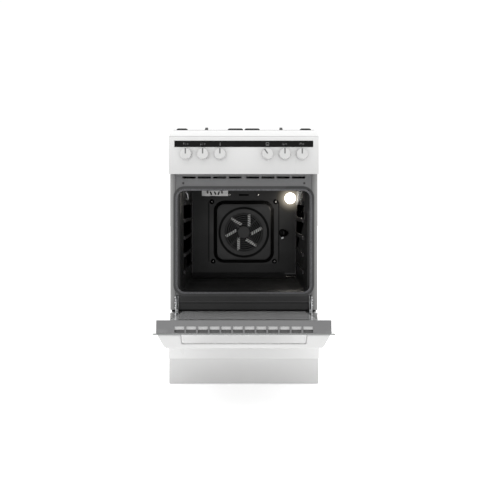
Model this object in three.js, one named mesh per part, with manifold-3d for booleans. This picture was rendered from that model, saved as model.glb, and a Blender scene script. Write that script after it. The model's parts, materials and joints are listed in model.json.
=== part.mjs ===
// A freestanding gas cooker, 50 cm wide, with its oven door let down.
// Millimetres. Seen from the front, X runs left to right, Y front to back and Z up from the floor.
// Pieces are drawn about the middle of the body, and the whole group is moved once, at the end,
// so that the origin lies on the floor under the middle of the cooker with its door open.
import * as THREE from "three";
import { mergeVertices } from "three/addons/utils/BufferGeometryUtils.js";
import Module from "manifold-3d";

const wasm = await Module();
wasm.setup();

// ---- Driving dimensions -------------------------------------------------------------------
const HALF_WIDTH = 250;
const BODY_BACK = 300; // rear edge of the side panels
const PANEL_FRONT = -300; // face of the control panel
const CARCASS_FRONT = -258; // front plane of the body, behind the door
const SHEET = 1.2; // body sheet metal
const GAP = 0.4; // clearance between neighbouring pieces

const TRAY_Z = 22; // underside of the base tray, on its feet
const PLINTH_TOP = 87;
const DRAWER_BOTTOM = 90;
const DRAWER_TOP = 190;
const PANEL_BOTTOM = 704;
const PANEL_TOP = 829.4;
const HOB_BOTTOM = 830;
const HOB_SURFACE = 842; // the sunk floor of the hob
const HOB_RIM = 850;

const PIVOT_Y = -262; // door hinge line, in the plane of the door's inner face
const PIVOT_Z = 240;
const DOOR_OPEN = THREE.MathUtils.degToRad(84);
const DOOR_ABOVE_PIVOT = 460;
const DOOR_BELOW_PIVOT = 40;
const DOOR_THICKNESS = 40;
const DOOR_FRAME_HALF = 240;

const RECESS_TOP = 243; // the hollow that the foot of the door swings into
const RECESS_BOTTOM = 181;
const RECESS_BACK = -216;
const FLANGE_INNER_X = 232; // inner edge of the side panels' front flanges

const CAVITY_HALF = 209;
const CAVITY_FLOOR = 308;
const CAVITY_CEILING = 672;
const CAVITY_BACK = 150;
const CAVITY_WALL = 1.5;
const FAN_Z = 489.5;

const KNOB_Z = 770.5;
const KNOB_SPACING = 57;
const INNER_KNOB_X = 79;
const KNOB_RADIUS = 20;
const SPINDLE_RADIUS = 3;

const BURNER_X = 128;
const FRONT_BURNER_Y = -160;
const REAR_BURNER_Y = 104;

const HINGE_X = 227; // middle plane of each door hinge

// ---- Finishes -----------------------------------------------------------------------------
const finish = (color, roughness, metalness) =>
  new THREE.MeshStandardMaterial({ color, roughness, metalness });

const WHITE_ENAMEL = [0xf0f0ee, 0.3, 0.0];
const GREY_ENAMEL = [0x6e6e70, 0.4, 0.3];
const BLACK_ENAMEL = [0x1c1c1e, 0.2, 0.0];
const ZINC = [0xb8babc, 0.4, 0.9];
const ALUMINIUM = [0xa8a9ab, 0.45, 0.9];
const BRASS = [0xb59a4e, 0.4, 0.9];
const GLASS = [0x30343a, 0.05, 0.0];
const BLACK_PLASTIC = [0x18181a, 0.5, 0.0];
const WHITE_PLASTIC = [0xf2f2f0, 0.35, 0.0];
const GASKET = [0x55565a, 0.9, 0.0];
const WOOL = [0xc9bf9a, 1.0, 0.0];

// ---- Solid helpers ------------------------------------------------------------------------
// Corners are snapped to a fine grid, so faces meant to share a plane share it exactly.
const GRID = 1024; // steps to the millimetre, exact in 32-bit numbers

function solidOf(geometry) {
  const bare = geometry.clone();
  bare.deleteAttribute("normal");
  bare.deleteAttribute("uv");
  bare.attributes.position.array.forEach((value, index, all) => {
    all[index] = Math.round(value * GRID) / GRID;
  });
  const merged = mergeVertices(bare, 1e-4);
  const mesh = new wasm.Mesh({
    numProp: 3,
    vertProperties: new Float32Array(merged.attributes.position.array),
    triVerts: new Uint32Array(merged.index.array),
  });
  return new wasm.Manifold(mesh);
}

function geometryOf(solid) {
  const mesh = solid.getMesh();
  const positions = new Float32Array(mesh.vertProperties);
  const geometry = new THREE.BufferGeometry();
  geometry.setAttribute("position", new THREE.BufferAttribute(positions, 3));
  geometry.setIndex(new THREE.BufferAttribute(new Uint32Array(mesh.triVerts), 1));
  geometry.computeVertexNormals();
  return geometry;
}

function join(...pieces) {
  return geometryOf(pieces.map(solidOf).reduce((whole, piece) => whole.add(piece)));
}

function cut(base, ...tools) {
  return geometryOf(tools.map(solidOf).reduce((rest, tool) => rest.subtract(tool), solidOf(base)));
}

function common(one, other) {
  return geometryOf(solidOf(one).intersect(solidOf(other)));
}

// A box between two corners given as ranges along X, Y and Z.
function block([x0, x1], [y0, y1], [z0, z1]) {
  const geometry = new THREE.BoxGeometry(Math.abs(x1 - x0), Math.abs(y1 - y0), Math.abs(z1 - z0));
  return geometry.translate((x0 + x1) / 2, (y0 + y1) / 2, (z0 + z1) / 2);
}

// A range on the left (side -1) or right (side 1) of the middle plane.
const sided = (side, inner, outer) => [side * inner, side * outer];

function roundedRectangle(centreX, centreY, halfX, halfY, radius) {
  const shape = new THREE.Shape();
  const corners = [[1, -1, -90], [1, 1, 0], [-1, 1, 90], [-1, -1, 180]];
  for (const [sideX, sideY, start] of corners) {
    const x = centreX + sideX * (halfX - radius);
    const y = centreY + sideY * (halfY - radius);
    const from = THREE.MathUtils.degToRad(start);
    shape.absarc(x, y, radius, from, from + Math.PI / 2, false);
  }
  shape.closePath();
  return shape;
}

function polygon(points) {
  const shape = new THREE.Shape();
  points.forEach(([x, y], index) => (index ? shape.lineTo(x, y) : shape.moveTo(x, y)));
  shape.closePath();
  return shape;
}

// An outline extruded square to its own plane. An arc is drawn with twice arcSteps pieces.
function extruded(shape, depth, arcSteps) {
  return new THREE.ExtrudeGeometry(shape, { depth, bevelEnabled: false, curveSegments: arcSteps });
}

// An outline drawn on X and Z, from yFront back through a thickness.
function frontPlate(shape, yFront, thickness, arcSteps = 2) {
  const geometry = extruded(shape, thickness, arcSteps);
  return geometry.rotateX(Math.PI / 2).translate(0, yFront + thickness, 0);
}

// An outline drawn on Y and Z, extruded along X between two places.
function sidePlate(shape, [x0, x1], arcSteps = 2) {
  const geometry = extruded(shape, Math.abs(x1 - x0), arcSteps);
  const turn = new THREE.Matrix4().makeBasis(
    new THREE.Vector3(0, 1, 0),
    new THREE.Vector3(0, 0, 1),
    new THREE.Vector3(1, 0, 0),
  );
  return geometry.applyMatrix4(turn).translate(Math.min(x0, x1), 0, 0);
}

// An outline drawn on X and Y, extruded upwards between two heights.
function floorPlate(shape, [z0, z1], arcSteps = 2) {
  return extruded(shape, z1 - z0, arcSteps).translate(0, 0, z0);
}

function rodAlongY(radius, x, z, [y0, y1], sides = 12) {
  return new THREE.CylinderGeometry(radius, radius, y1 - y0, sides).translate(x, (y0 + y1) / 2, z);
}

function rodAlongX(radius, y, z, [x0, x1], sides = 12) {
  const length = Math.abs(x1 - x0);
  const geometry = new THREE.CylinderGeometry(radius, radius, length, sides).rotateZ(Math.PI / 2);
  return geometry.translate((x0 + x1) / 2, y, z);
}

// A profile of [radius, height] pairs turned about the Y axis, or about Z when upright.
function turned(profile, sides, upright = false) {
  const geometry = new THREE.LatheGeometry(profile.map(([r, h]) => new THREE.Vector2(r, h)), sides);
  return upright ? geometry.rotateX(Math.PI / 2) : geometry;
}

// A round rod through the given corners, each rounded off over the bend length.
function bentRod(corners, bend, radius, steps, sides) {
  const points = corners.map((corner) => new THREE.Vector3(...corner));
  const path = new THREE.CurvePath();
  let start = points[0];
  for (let i = 1; i < points.length - 1; i += 1) {
    const before = points[i].clone().add(points[i - 1].clone().sub(points[i]).setLength(bend));
    const after = points[i].clone().add(points[i + 1].clone().sub(points[i]).setLength(bend));
    path.add(new THREE.LineCurve3(start, before));
    path.add(new THREE.QuadraticBezierCurve3(before, points[i], after));
    start = after;
  }
  path.add(new THREE.LineCurve3(start, points.at(-1)));
  const section = new THREE.Shape().absarc(0, 0, radius, 0, 2 * Math.PI, false);
  return new THREE.ExtrudeGeometry(section, { steps, extrudePath: path, curveSegments: sides / 2 });
}

const cooker = new THREE.Group();

function add(name, geometry, look, parent = cooker) {
  const mesh = new THREE.Mesh(geometry, finish(...look));
  mesh.name = name;
  parent.add(mesh);
  return mesh;
}

const SIDES = [["left", -1], ["right", 1]];

// ---- Body ---------------------------------------------------------------------------------
const FOOT_HEIGHT = TRAY_Z - GAP;
const FOOT_X = 205;
const FRONT_FOOT_Y = -225;
const REAR_FOOT_Y = 255;

function foot() {
  return turned([[0, 0], [18, 0], [18, 6], [8, 10], [8, FOOT_HEIGHT], [0, FOOT_HEIGHT]], 16, true);
}

for (const [sideName, side] of SIDES) {
  for (const [endName, y] of [["front", FRONT_FOOT_Y], ["rear", REAR_FOOT_Y]]) {
    add(`foot_${endName}_${sideName}`, foot(), BLACK_PLASTIC).position.set(side * FOOT_X, y, 0);
  }
}

// The base tray carries the feet, and its folded side walls are the drawer's rails.
const TRAY_BACK = 296.6;
const TRAY_FRONT = CARCASS_FRONT + 1.8;
const RAIL_TOP = 91.5;
const RAIL_X = [214, 241.2];

function baseTray() {
  const floor = block([-248.2, 248.2], [TRAY_FRONT, TRAY_BACK], [TRAY_Z, TRAY_Z + SHEET]);
  const lip = block([-231, 231], [TRAY_FRONT, TRAY_FRONT + SHEET], [TRAY_Z, 60]);
  const rails = SIDES.flatMap(([, side]) => [
    block(sided(side, RAIL_X[1] - SHEET, RAIL_X[1]), [TRAY_FRONT, TRAY_BACK], [TRAY_Z, RAIL_TOP]),
    block(sided(side, RAIL_X[0], RAIL_X[1]), [TRAY_FRONT, TRAY_BACK], [RAIL_TOP - SHEET, RAIL_TOP]),
  ]);
  return join(floor, lip, ...rails);
}

const SIDE_BOTTOM = 8;

// A side panel with front flanges above and below the door's recess, and a rear flange.
function sidePanel(side) {
  const outline = polygon([
    [CARCASS_FRONT, SIDE_BOTTOM],
    [BODY_BACK, SIDE_BOTTOM],
    [BODY_BACK, PANEL_TOP],
    [CARCASS_FRONT, PANEL_TOP],
    [CARCASS_FRONT, RECESS_TOP],
    [RECESS_BACK, RECESS_TOP],
    [RECESS_BACK, RECESS_BOTTOM],
    [CARCASS_FRONT, RECESS_BOTTOM],
  ]);
  const inner = HALF_WIDTH - SHEET;
  const overlap = inner + SHEET / 2;
  const frontSheet = [CARCASS_FRONT, CARCASS_FRONT + SHEET];
  return join(
    sidePlate(outline, sided(side, inner, HALF_WIDTH)),
    block(sided(side, FLANGE_INNER_X, overlap), frontSheet, [RECESS_TOP, PANEL_TOP]),
    block(sided(side, FLANGE_INNER_X, overlap), frontSheet, [SIDE_BOTTOM, RECESS_BOTTOM]),
    block(sided(side, 233, overlap), [BODY_BACK - SHEET, BODY_BACK], [SIDE_BOTTOM, PANEL_TOP]),
  );
}

const GLAND_X = -160;
const GLAND_Z = 670;
const RAIL_PIPE_X = 222; // where the gas rail runs back to its inlet
const RAIL_PIPE_RADIUS = 8;
const REAR_SHEET = [297.2, 298.4];

function rearCover() {
  const holes = [
    rodAlongY(12.5, GLAND_X, GLAND_Z, [296, 300], 16),
    rodAlongY(RAIL_PIPE_RADIUS + 2, RAIL_PIPE_X, KNOB_Z, [296, 300], 16),
  ];
  for (const side of [-1, 1]) {
    for (let row = 0; row < 7; row += 1) {
      const z = 420 + 14 * row;
      holes.push(block(sided(side, 60, 150), [296, 300], [z, z + 5]));
    }
  }
  return cut(block([-247.8, 247.8], REAR_SHEET, [TRAY_Z + 2, PANEL_TOP]), ...holes);
}

// The grey sheet around the oven mouth, with a row of cooling slots under the control panel.
const FRAME_SHEET = [CARCASS_FRONT + 0.2, CARCASS_FRONT + 0.2 + SHEET];
const MOUTH_BLOCK = { half: 223.5, bottom: 300.5, top: 656 };

function frontFrame() {
  const through = [CARCASS_FRONT - 2, CARCASS_FRONT + 4];
  const mouthHalf = MOUTH_BLOCK.half + GAP;
  const mouthHeight = [MOUTH_BLOCK.bottom - GAP, MOUTH_BLOCK.top + GAP];
  const tools = [block([-mouthHalf, mouthHalf], through, mouthHeight)];
  for (const side of [-1, 1]) {
    for (let slot = 0; slot < 4; slot += 1) {
      const inner = 7.8 + 52.1 * slot;
      tools.push(block(sided(side, inner, inner + 44.6), through, [690, 697]));
    }
  }
  return cut(block([-231, 231], FRAME_SHEET, [294, 726]), ...tools);
}

// The folded black sheet below the oven: a face with a pressed bead along it, over a hollow that
// leaves room for the foot of the door.
function lowerFrontPanel() {
  const front = FRAME_SHEET[0];
  const back = RECESS_BACK + 2;
  const top = RECESS_TOP + 2;
  const bottom = RECESS_BOTTOM - SHEET;
  const faceTop = 293.6;
  const outline = polygon([
    [front, faceTop],
    [front, 273],
    [front - 2, 271],
    [front - 2, 268],
    [front, 266],
    [front, top],
    [back, top],
    [back, bottom + SHEET],
    [front, bottom + SHEET],
    [front, bottom],
    [back + SHEET, bottom],
    [back + SHEET, top + SHEET],
    [front + SHEET, top + SHEET],
    [front + SHEET, faceTop],
  ]);
  return sidePlate(outline, [-221, 221]);
}

function plinth() {
  const front = -291;
  const back = CARCASS_FRONT - 0.6;
  const shell = block([-HALF_WIDTH, HALF_WIDTH], [front, back], [2, PLINTH_TOP]);
  const inner = HALF_WIDTH - SHEET;
  return cut(shell, block([-inner, inner], [front + SHEET, back + 5], [-5, PLINTH_TOP - SHEET]));
}

add("base_tray", baseTray(), ZINC);
for (const [sideName, side] of SIDES) {
  add(`side_panel_${sideName}`, sidePanel(side), WHITE_ENAMEL);
}
add("rear_cover", rearCover(), ZINC);
add("front_frame", frontFrame(), GREY_ENAMEL);
add("lower_front_panel", lowerFrontPanel(), BLACK_ENAMEL);
add("plinth", plinth(), WHITE_ENAMEL);

// ---- Oven ---------------------------------------------------------------------------------
const RING = { half: 239, bottom: 290, top: 664, radius: 38 };
const RING_SHEET = [CARCASS_FRONT - 1.6, CARCASS_FRONT - 0.1];
const SEAL_INNER = { half: 225.5, bottom: 304.5, top: 648.5, radius: 26 };
const SEAL_WIDTH = 6.5;
const SHELF_RIDGES = 5;
const MOUTH_TOP = 652; // the ceiling is lower at the mouth than inside
const COVE_RADIUS = 22;

function uprightRing({ half, bottom, top, radius }, grow = 0) {
  const height = (top - bottom) / 2;
  return roundedRectangle(0, (top + bottom) / 2, half + grow, height + grow, radius + grow);
}

// The hollow curve along the foot of the oven's back wall.
function cove() {
  const shape = new THREE.Shape();
  const middleY = CAVITY_BACK + 0.4 - COVE_RADIUS;
  const middleZ = CAVITY_FLOOR - 0.4 + COVE_RADIUS;
  shape.moveTo(CAVITY_BACK + 0.4, CAVITY_FLOOR - 0.4);
  shape.lineTo(CAVITY_BACK + 0.4, middleZ);
  shape.absarc(middleY, middleZ, COVE_RADIUS, 0, -Math.PI / 2, true);
  shape.closePath();
  const half = CAVITY_HALF + 0.4;
  return sidePlate(shape, [-half, half], 3);
}

// The oven box: its front ring, a flared mouth, ridges for shelves and a rounded back edge.
function ovenCavity() {
  const wall = CAVITY_WALL;
  const middle = (CAVITY_FLOOR + CAVITY_CEILING) / 2;
  const height = (CAVITY_CEILING - CAVITY_FLOOR) / 2;
  const mouthBack = -233;
  const edge = 6;
  const ring = frontPlate(uprightRing(RING), RING_SHEET[0], RING_SHEET[1] - RING_SHEET[0], 3);
  const mouth = block(
    [-MOUTH_BLOCK.half, MOUTH_BLOCK.half],
    [RING_SHEET[1] - 0.1, mouthBack],
    [MOUTH_BLOCK.bottom, MOUTH_BLOCK.top],
  );
  const outline = roundedRectangle(0, middle, CAVITY_HALF, height, 14);
  const outside = roundedRectangle(0, middle, CAVITY_HALF + wall, height + wall, 14 + wall);
  const shell = frontPlate(outside, -240, CAVITY_BACK + wall + 240, 1);
  const inside = new THREE.ExtrudeGeometry(outline, {
    depth: CAVITY_BACK + 270 - 2 * edge,
    bevelThickness: edge,
    bevelSize: edge,
    bevelOffset: -edge,
    bevelSegments: 2,
    curveSegments: 1,
  });
  inside.rotateX(Math.PI / 2).translate(0, CAVITY_BACK - edge, 0);
  const flareDepth = 25;
  const flareSize = 13;
  const flare = new THREE.ExtrudeGeometry(outline, {
    depth: 2,
    bevelThickness: flareDepth,
    bevelSize: flareSize,
    bevelSegments: 1,
    curveSegments: 1,
  });
  flare.rotateX(Math.PI / 2).translate(0, RING_SHEET[0] + 1, 0);
  const reach = block([-222, 222], [-290, mouthBack + 5], [302, MOUTH_TOP]);
  const ridges = [];
  for (const side of [-1, 1]) {
    for (let row = 0; row < SHELF_RIDGES; row += 1) {
      const z = 365 + 60 * row;
      ridges.push(block(sided(side, CAVITY_HALF - 6, CAVITY_HALF + 0.5), [-205, 120], [z - 6, z + 6]));
    }
  }
  const behindMouth = join(
    block([-300, 300], [-250, 400], [0, MOUTH_TOP]),
    block([-300, 300], [-240 + wall, 400], [0, 900]),
  );
  const hollow = join(common(inside, behindMouth), common(flare, reach));
  const opening = frontPlate(roundedRectangle(0, 477, 222, 175, 28), -270, 20, 3);
  const box = cut(join(ring, mouth, shell), hollow, opening, rodAlongY(8, 0, FAN_Z, [140, 160]));
  return join(box, cove(), ...ridges);
}

function ovenSeal() {
  const depth = 1.7;
  const front = RING_SHEET[0] - 0.3 - depth;
  return cut(
    frontPlate(uprightRing(SEAL_INNER, SEAL_WIDTH), front, depth, 3),
    frontPlate(uprightRing(SEAL_INNER), front - 1, depth + 2, 3),
  );
}

// Mineral wool over the back and all four sides of the oven box.
function insulation() {
  const inner = CAVITY_HALF + CAVITY_WALL + 0.7;
  const floor = CAVITY_FLOOR - CAVITY_WALL - 0.7;
  const ceiling = CAVITY_CEILING + CAVITY_WALL + 0.7;
  return cut(
    block([-236, 236], [-205, 177], [floor - 23, ceiling + 15]),
    block([-inner, inner], [-210, CAVITY_BACK + CAVITY_WALL + 0.7], [floor, ceiling]),
    rodAlongY(14, 0, FAN_Z, [140, 190]),
  );
}

const COVER_FACE = 124; // front of the fan cover's raised part
const COVER_SLOPE = 16; // width of its sloping sides, seen from the front
const COVER_STEP = { radius: 96, slope: 4, depth: 2.8 }; // sunk disc around the grille
const GRILLE_RINGS = 7;
const GRILLE_ARCS = 4;
const SPOKE_WIDTH = 3;
const FAN_SHAFT_RADIUS = 3;

// One curved slot between two radii, drawn about the fan's axis.
function arcSlot(inner, outer, middleDegrees, spanDegrees) {
  const from = THREE.MathUtils.degToRad(middleDegrees - spanDegrees / 2);
  const to = THREE.MathUtils.degToRad(middleDegrees + spanDegrees / 2);
  const shape = new THREE.Shape();
  shape.absarc(0, FAN_Z, outer, from, to, false);
  shape.absarc(0, FAN_Z, inner, to, from, true);
  shape.closePath();
  return shape;
}

// A block with a rounded face and sides that slope out towards the back.
function slopedBlock(inset, face, back) {
  const outline = roundedRectangle(0, 491, 105 - inset, 109 - inset, 28 - inset);
  const geometry = new THREE.ExtrudeGeometry(outline, {
    depth: 1,
    bevelThickness: back - face,
    bevelSize: COVER_SLOPE,
    bevelSegments: 1,
    curveSegments: 3,
  });
  geometry.rotateX(Math.PI / 2).translate(0, back + 1, 0);
  return common(geometry, block([-200, 200], [face - 1, back + 0.5], [300, 700]));
}

// The cover over the fan: a raised pressing with a sunk round grille, on a flat flange.
function fanCover() {
  const thickness = 1.6;
  const { radius, slope, depth } = COVER_STEP;
  const flangeFront = 146.6;
  const flange = frontPlate(roundedRectangle(0, 490.5, 141, 128.5, 14), flangeFront, 1.8, 1);
  const raised = slopedBlock(0, COVER_FACE, flangeFront + 1);
  const hollow = slopedBlock(thickness, COVER_FACE + thickness, flangeFront + 1);
  const behind = frontPlate(roundedRectangle(0, 491, 119, 123, 42), flangeFront - 0.5, 5);
  const sunk = new THREE.CylinderGeometry(radius - slope, radius + slope, 2 * depth, 32);
  sunk.translate(0, COVER_FACE, FAN_Z);
  const disc = rodAlongY(radius, 0, FAN_Z, [COVER_FACE + 0.4, COVER_FACE + depth + thickness], 32);
  const slots = [];
  for (let ring = 0; ring < GRILLE_RINGS; ring += 1) {
    const inner = 24 + 7.9 * ring;
    for (let arc = 0; arc < GRILLE_ARCS; arc += 1) {
      const spoke = SPOKE_WIDTH / THREE.MathUtils.degToRad(inner);
      const slot = arcSlot(inner, inner + 5, arc * 90, 90 - spoke);
      slots.push(frontPlate(slot, COVER_FACE - 5, 15, 3));
    }
  }
  const pressing = join(cut(join(flange, raised), hollow, behind), disc);
  return cut(pressing, sunk, ...slots);
}

// Six slanted blades on a disc, with the shaft that runs back into the motor.
function fanImpeller() {
  const hub = [[0, 129.6], [12, 129.6], [16, 133], [16, 145]];
  const shaft = [[FAN_SHAFT_RADIUS, 145], [FAN_SHAFT_RADIUS, 190], [0, 190]];
  const pieces = [turned([...hub, ...shaft], 16), rodAlongY(72, 0, 0, [143.8, 145.2], 24)];
  for (let blade = 0; blade < 6; blade += 1) {
    const plate = new THREE.BoxGeometry(1.2, 18, 48);
    plate.rotateZ(THREE.MathUtils.degToRad(35));
    plate.translate(20.4, 137, 46);
    plate.rotateY(THREE.MathUtils.degToRad(60 * blade));
    pieces.push(plate);
  }
  return join(...pieces);
}

function fanMotor() {
  const bore = FAN_SHAFT_RADIUS + 0.8;
  const socket = [[0, 194], [bore, 194], [bore, 179]];
  return turned([...socket, [30, 179], [42, 186], [42, 225], [34, 232], [0, 232]], 18);
}

const LAMP = { x: 184, z: 624, radius: 22, neck: 16 };

// A domed glass on a narrower threaded neck.
function lampCover() {
  const { radius, neck } = LAMP;
  const dome = [[0, 124], [10, 125.4], [18, 129.6], [radius, 135], [radius, 138]];
  return turned([...dome, [neck, 140], [neck, 148.2], [0, 148.2]], 20);
}

// The grill: one long bent heater under the oven's ceiling, brazed to a plate on the back wall.
function grillElement() {
  const plate = block([-167, -63], [147.4, 149.6], [633, 655]);
  const rod = bentRod(
    [
      [-144, 148, 645],
      [-144, 118, 658],
      [-144, -185, 658],
      [150, -185, 658],
      [150, 85, 658],
      [-87, 85, 658],
      [-87, 118, 656],
      [-87, 148, 645],
    ],
    10, 3.5, 66, 6,
  );
  return join(plate, rod);
}

add("oven_cavity", ovenCavity(), BLACK_ENAMEL);
add("oven_seal", ovenSeal(), GASKET);
add("insulation", insulation(), WOOL);
add("fan_cover", fanCover(), BLACK_ENAMEL);
add("fan_impeller", fanImpeller(), ALUMINIUM).position.z = FAN_Z;
add("fan_motor", fanMotor(), ZINC).position.z = FAN_Z;
add("lamp_cover", lampCover(), GLASS).position.set(LAMP.x, 0, LAMP.z);
add("grill_element", grillElement(), ZINC);

// ---- Controls and gas ---------------------------------------------------------------------
const STRIP_FRONT = PANEL_FRONT - 1.3;
const STRIP_BACK = PANEL_FRONT - 0.3;
const KNOB_BACK = PANEL_FRONT - 4; // leaves room for a gas knob to be pushed in
const KNOB_FACE = PANEL_FRONT - 28;
const KNOB_BORE_END = KNOB_BACK - 13;
const MIDDLE_KNOB_X = INNER_KNOB_X + KNOB_SPACING;
const OUTER_KNOB_X = MIDDLE_KNOB_X + KNOB_SPACING;
const GAS_CONTROLS = [
  ["rear_left", -OUTER_KNOB_X],
  ["front_left", -MIDDLE_KNOB_X],
  ["front_right", MIDDLE_KNOB_X],
  ["rear_right", OUTER_KNOB_X],
];
const ALL_KNOB_X = [...GAS_CONTROLS.map(([, x]) => x), -INNER_KNOB_X, INNER_KNOB_X];

function controlPanel() {
  const back = CARCASS_FRONT - 0.6;
  const inner = HALF_WIDTH - SHEET;
  const front = [PANEL_FRONT - 2, PANEL_FRONT + 4];
  const height = [PANEL_BOTTOM + SHEET, PANEL_TOP - SHEET];
  const shell = block([-HALF_WIDTH, HALF_WIDTH], [PANEL_FRONT, back], [PANEL_BOTTOM, PANEL_TOP]);
  const hollow = block([-inner, inner], [PANEL_FRONT + 1.5, back + 5], height);
  const holes = ALL_KNOB_X.map((x) => rodAlongY(5, x, KNOB_Z, front));
  return cut(shell, hollow, ...holes);
}

// A round knob with a sunk pointer line from its rim to its middle. The oven's knobs carry
// their own stem, and the gas knobs are bored to take the tap's spindle.
function knob(withStem) {
  const rim = [[16.5, KNOB_FACE], [18, KNOB_FACE + 1.5], [KNOB_RADIUS, KNOB_BACK]];
  const stemEnd = PANEL_FRONT + 20;
  const bore = SPINDLE_RADIUS + 0.4;
  const rear = withStem
    ? [[SPINDLE_RADIUS, KNOB_BACK], [SPINDLE_RADIUS, stemEnd], [0, stemEnd]]
    : [[bore, KNOB_BACK], [bore, KNOB_BORE_END], [0, KNOB_BORE_END]];
  const body = turned([[0, KNOB_FACE], ...rim, ...rear], 24);
  return cut(body, block([-2.2, 2.2], [KNOB_FACE - 1, KNOB_FACE + 0.8], [0, 22]));
}

function spindle() {
  return rodAlongY(SPINDLE_RADIUS, 0, 0, [KNOB_BORE_END + 1, PANEL_FRONT + 20], 12);
}

function gasTap() {
  const round = rodAlongY(13, 0, 0, [-290, -250], 14);
  const body = join(round, block([-12, 12], [-262, -233.4], [-14, 14]));
  return cut(body, rodAlongY(SPINDLE_RADIUS + 0.6, 0, 0, [-292, -274]));
}

function ovenSwitch(half) {
  const neck = rodAlongY(9, 0, 0, [-292, -285], 14);
  const body = join(neck, block([-half, half], [-286, -256], [-half, half]));
  return cut(body, rodAlongY(SPINDLE_RADIUS + 0.6, 0, 0, [-294, -276]));
}

// The gas rail runs behind the taps, then back along the right side to its threaded inlet.
function gasRail() {
  const end = BODY_BACK - GAP;
  const corners = [
    [-206, -225, KNOB_Z],
    [RAIL_PIPE_X, -225, KNOB_Z],
    [RAIL_PIPE_X, end, KNOB_Z],
  ];
  const pipe = bentRod(corners, 30, RAIL_PIPE_RADIUS, 24, 8);
  const nut = rodAlongY(14, RAIL_PIPE_X, KNOB_Z, [276, 294], 6);
  return cut(join(pipe, nut), rodAlongY(5.5, RAIL_PIPE_X, KNOB_Z, [270, end + 5]));
}

// The mains terminal box, with the gland that a supply cable would come in through.
function terminalBox() {
  const box = block([GLAND_X - 45, GLAND_X + 45], [250, 290], [GLAND_Z - 30, GLAND_Z + 30]);
  const gland = rodAlongY(11, GLAND_X, GLAND_Z, [289, BODY_BACK - GAP], 14);
  return cut(join(box, gland), rodAlongY(5, GLAND_X, GLAND_Z, [280, BODY_BACK + 5]));
}

add("control_panel", controlPanel(), WHITE_ENAMEL);
add("panel_strip", block([-231.7, 231.7], [STRIP_FRONT, STRIP_BACK], [793.8, 815]), BLACK_PLASTIC);
add("gas_rail", gasRail(), ALUMINIUM);
add("terminal_box", terminalBox(), BLACK_PLASTIC);
for (const [burnerName, x] of GAS_CONTROLS) {
  add(`gas_tap_${burnerName}`, gasTap(), BRASS).position.set(x, 0, KNOB_Z);
  add(`tap_spindle_${burnerName}`, spindle(), ZINC).position.set(x, 0, KNOB_Z);
  add(`knob_${burnerName}`, knob(false), WHITE_PLASTIC).position.set(x, 0, KNOB_Z);
}
add("thermostat", ovenSwitch(18), BLACK_PLASTIC).position.set(-INNER_KNOB_X, 0, KNOB_Z);
add("function_switch", ovenSwitch(21), BLACK_PLASTIC).position.set(INNER_KNOB_X, 0, KNOB_Z);
add("knob_thermostat", knob(true), WHITE_PLASTIC).position.set(-INNER_KNOB_X, 0, KNOB_Z);
const functionKnob = add("knob_function", knob(true), WHITE_PLASTIC);
functionKnob.position.set(INNER_KNOB_X, 0, KNOB_Z);
functionKnob.rotation.y = THREE.MathUtils.degToRad(-35);

// ---- Hob ----------------------------------------------------------------------------------
const RIM_WIDTH = 8;
const BURNERS = [
  ["front_left", -1, FRONT_BURNER_Y, 40],
  ["rear_left", -1, REAR_BURNER_Y, 32],
  ["rear_right", 1, REAR_BURNER_Y, 32],
  ["front_right", 1, FRONT_BURNER_Y, 24],
];
const CAP_BOTTOM = 854.4;

function hobPlate() {
  const half = HALF_WIDTH;
  const sunk = half - RIM_WIDTH;
  const deepHalf = BODY_BACK - RIM_WIDTH;
  const skin = 1.3;
  const outer = floorPlate(roundedRectangle(0, 0, half, BODY_BACK, 8), [HOB_BOTTOM, HOB_RIM]);
  const well = floorPlate(roundedRectangle(0, 0, sunk, deepHalf, 14), [HOB_SURFACE, HOB_RIM + 5]);
  const rimInside = roundedRectangle(0, 0, half - skin, BODY_BACK - skin, 7);
  const wellOutside = roundedRectangle(0, 0, sunk + skin, deepHalf + skin, 14 + skin);
  const under = cut(
    floorPlate(rimInside, [HOB_BOTTOM - 5, HOB_RIM - skin]),
    floorPlate(wellOutside, [HOB_SURFACE - skin, HOB_RIM]),
  );
  const holes = BURNERS.map(([, side, y]) => {
    const hole = new THREE.CylinderGeometry(16, 16, 20, 16).rotateX(Math.PI / 2);
    return hole.translate(side * BURNER_X, y, HOB_SURFACE);
  });
  return cut(outer, well, under, ...holes);
}

// A burner body: the crown that holds the cap, and the neck that drops through the hob.
function burnerCup(radius) {
  const foot = HOB_SURFACE + GAP;
  return turned(
    [
      [0, 818],
      [12, 818],
      [12, foot],
      [radius + 4, foot],
      [radius + 4, foot + 3.6],
      [radius - 3, foot + 6],
      [radius - 3, CAP_BOTTOM - GAP],
      [radius - 9, CAP_BOTTOM - GAP],
      [radius - 9, foot + 5],
      [0, foot + 5],
    ],
    20,
    true,
  );
}

function burnerCap(radius) {
  return turned(
    [
      [0, CAP_BOTTOM],
      [radius, CAP_BOTTOM],
      [radius, CAP_BOTTOM + 3],
      [radius - 3, CAP_BOTTOM + 6],
      [0, CAP_BOTTOM + 6.6],
    ],
    20,
    true,
  );
}

const GRATE = { inner: 2, outer: 238, front: -272, back: 230, bar: 8, low: 846, high: 853.6 };
const FINGER = { width: 9, top: 870, clear: 70, alongTop: 867, reach: 48, flat: 14 };

// A finger across the cooker: an upright bar with its two upper corners rounded.
function fingerAcross(side, inner, outer, y) {
  const [from, to] = sided(side, inner, outer).sort((a, b) => a - b);
  const round = 6;
  const low = GRATE.low + 1;
  const shape = new THREE.Shape();
  shape.moveTo(from, low);
  shape.lineTo(to, low);
  shape.lineTo(to, FINGER.top - round);
  shape.absarc(to - round, FINGER.top - round, round, 0, Math.PI / 2, false);
  shape.absarc(from + round, FINGER.top - round, round, Math.PI / 2, Math.PI, false);
  shape.closePath();
  return frontPlate(shape, y - FINGER.width / 2, FINGER.width, 1);
}

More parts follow.
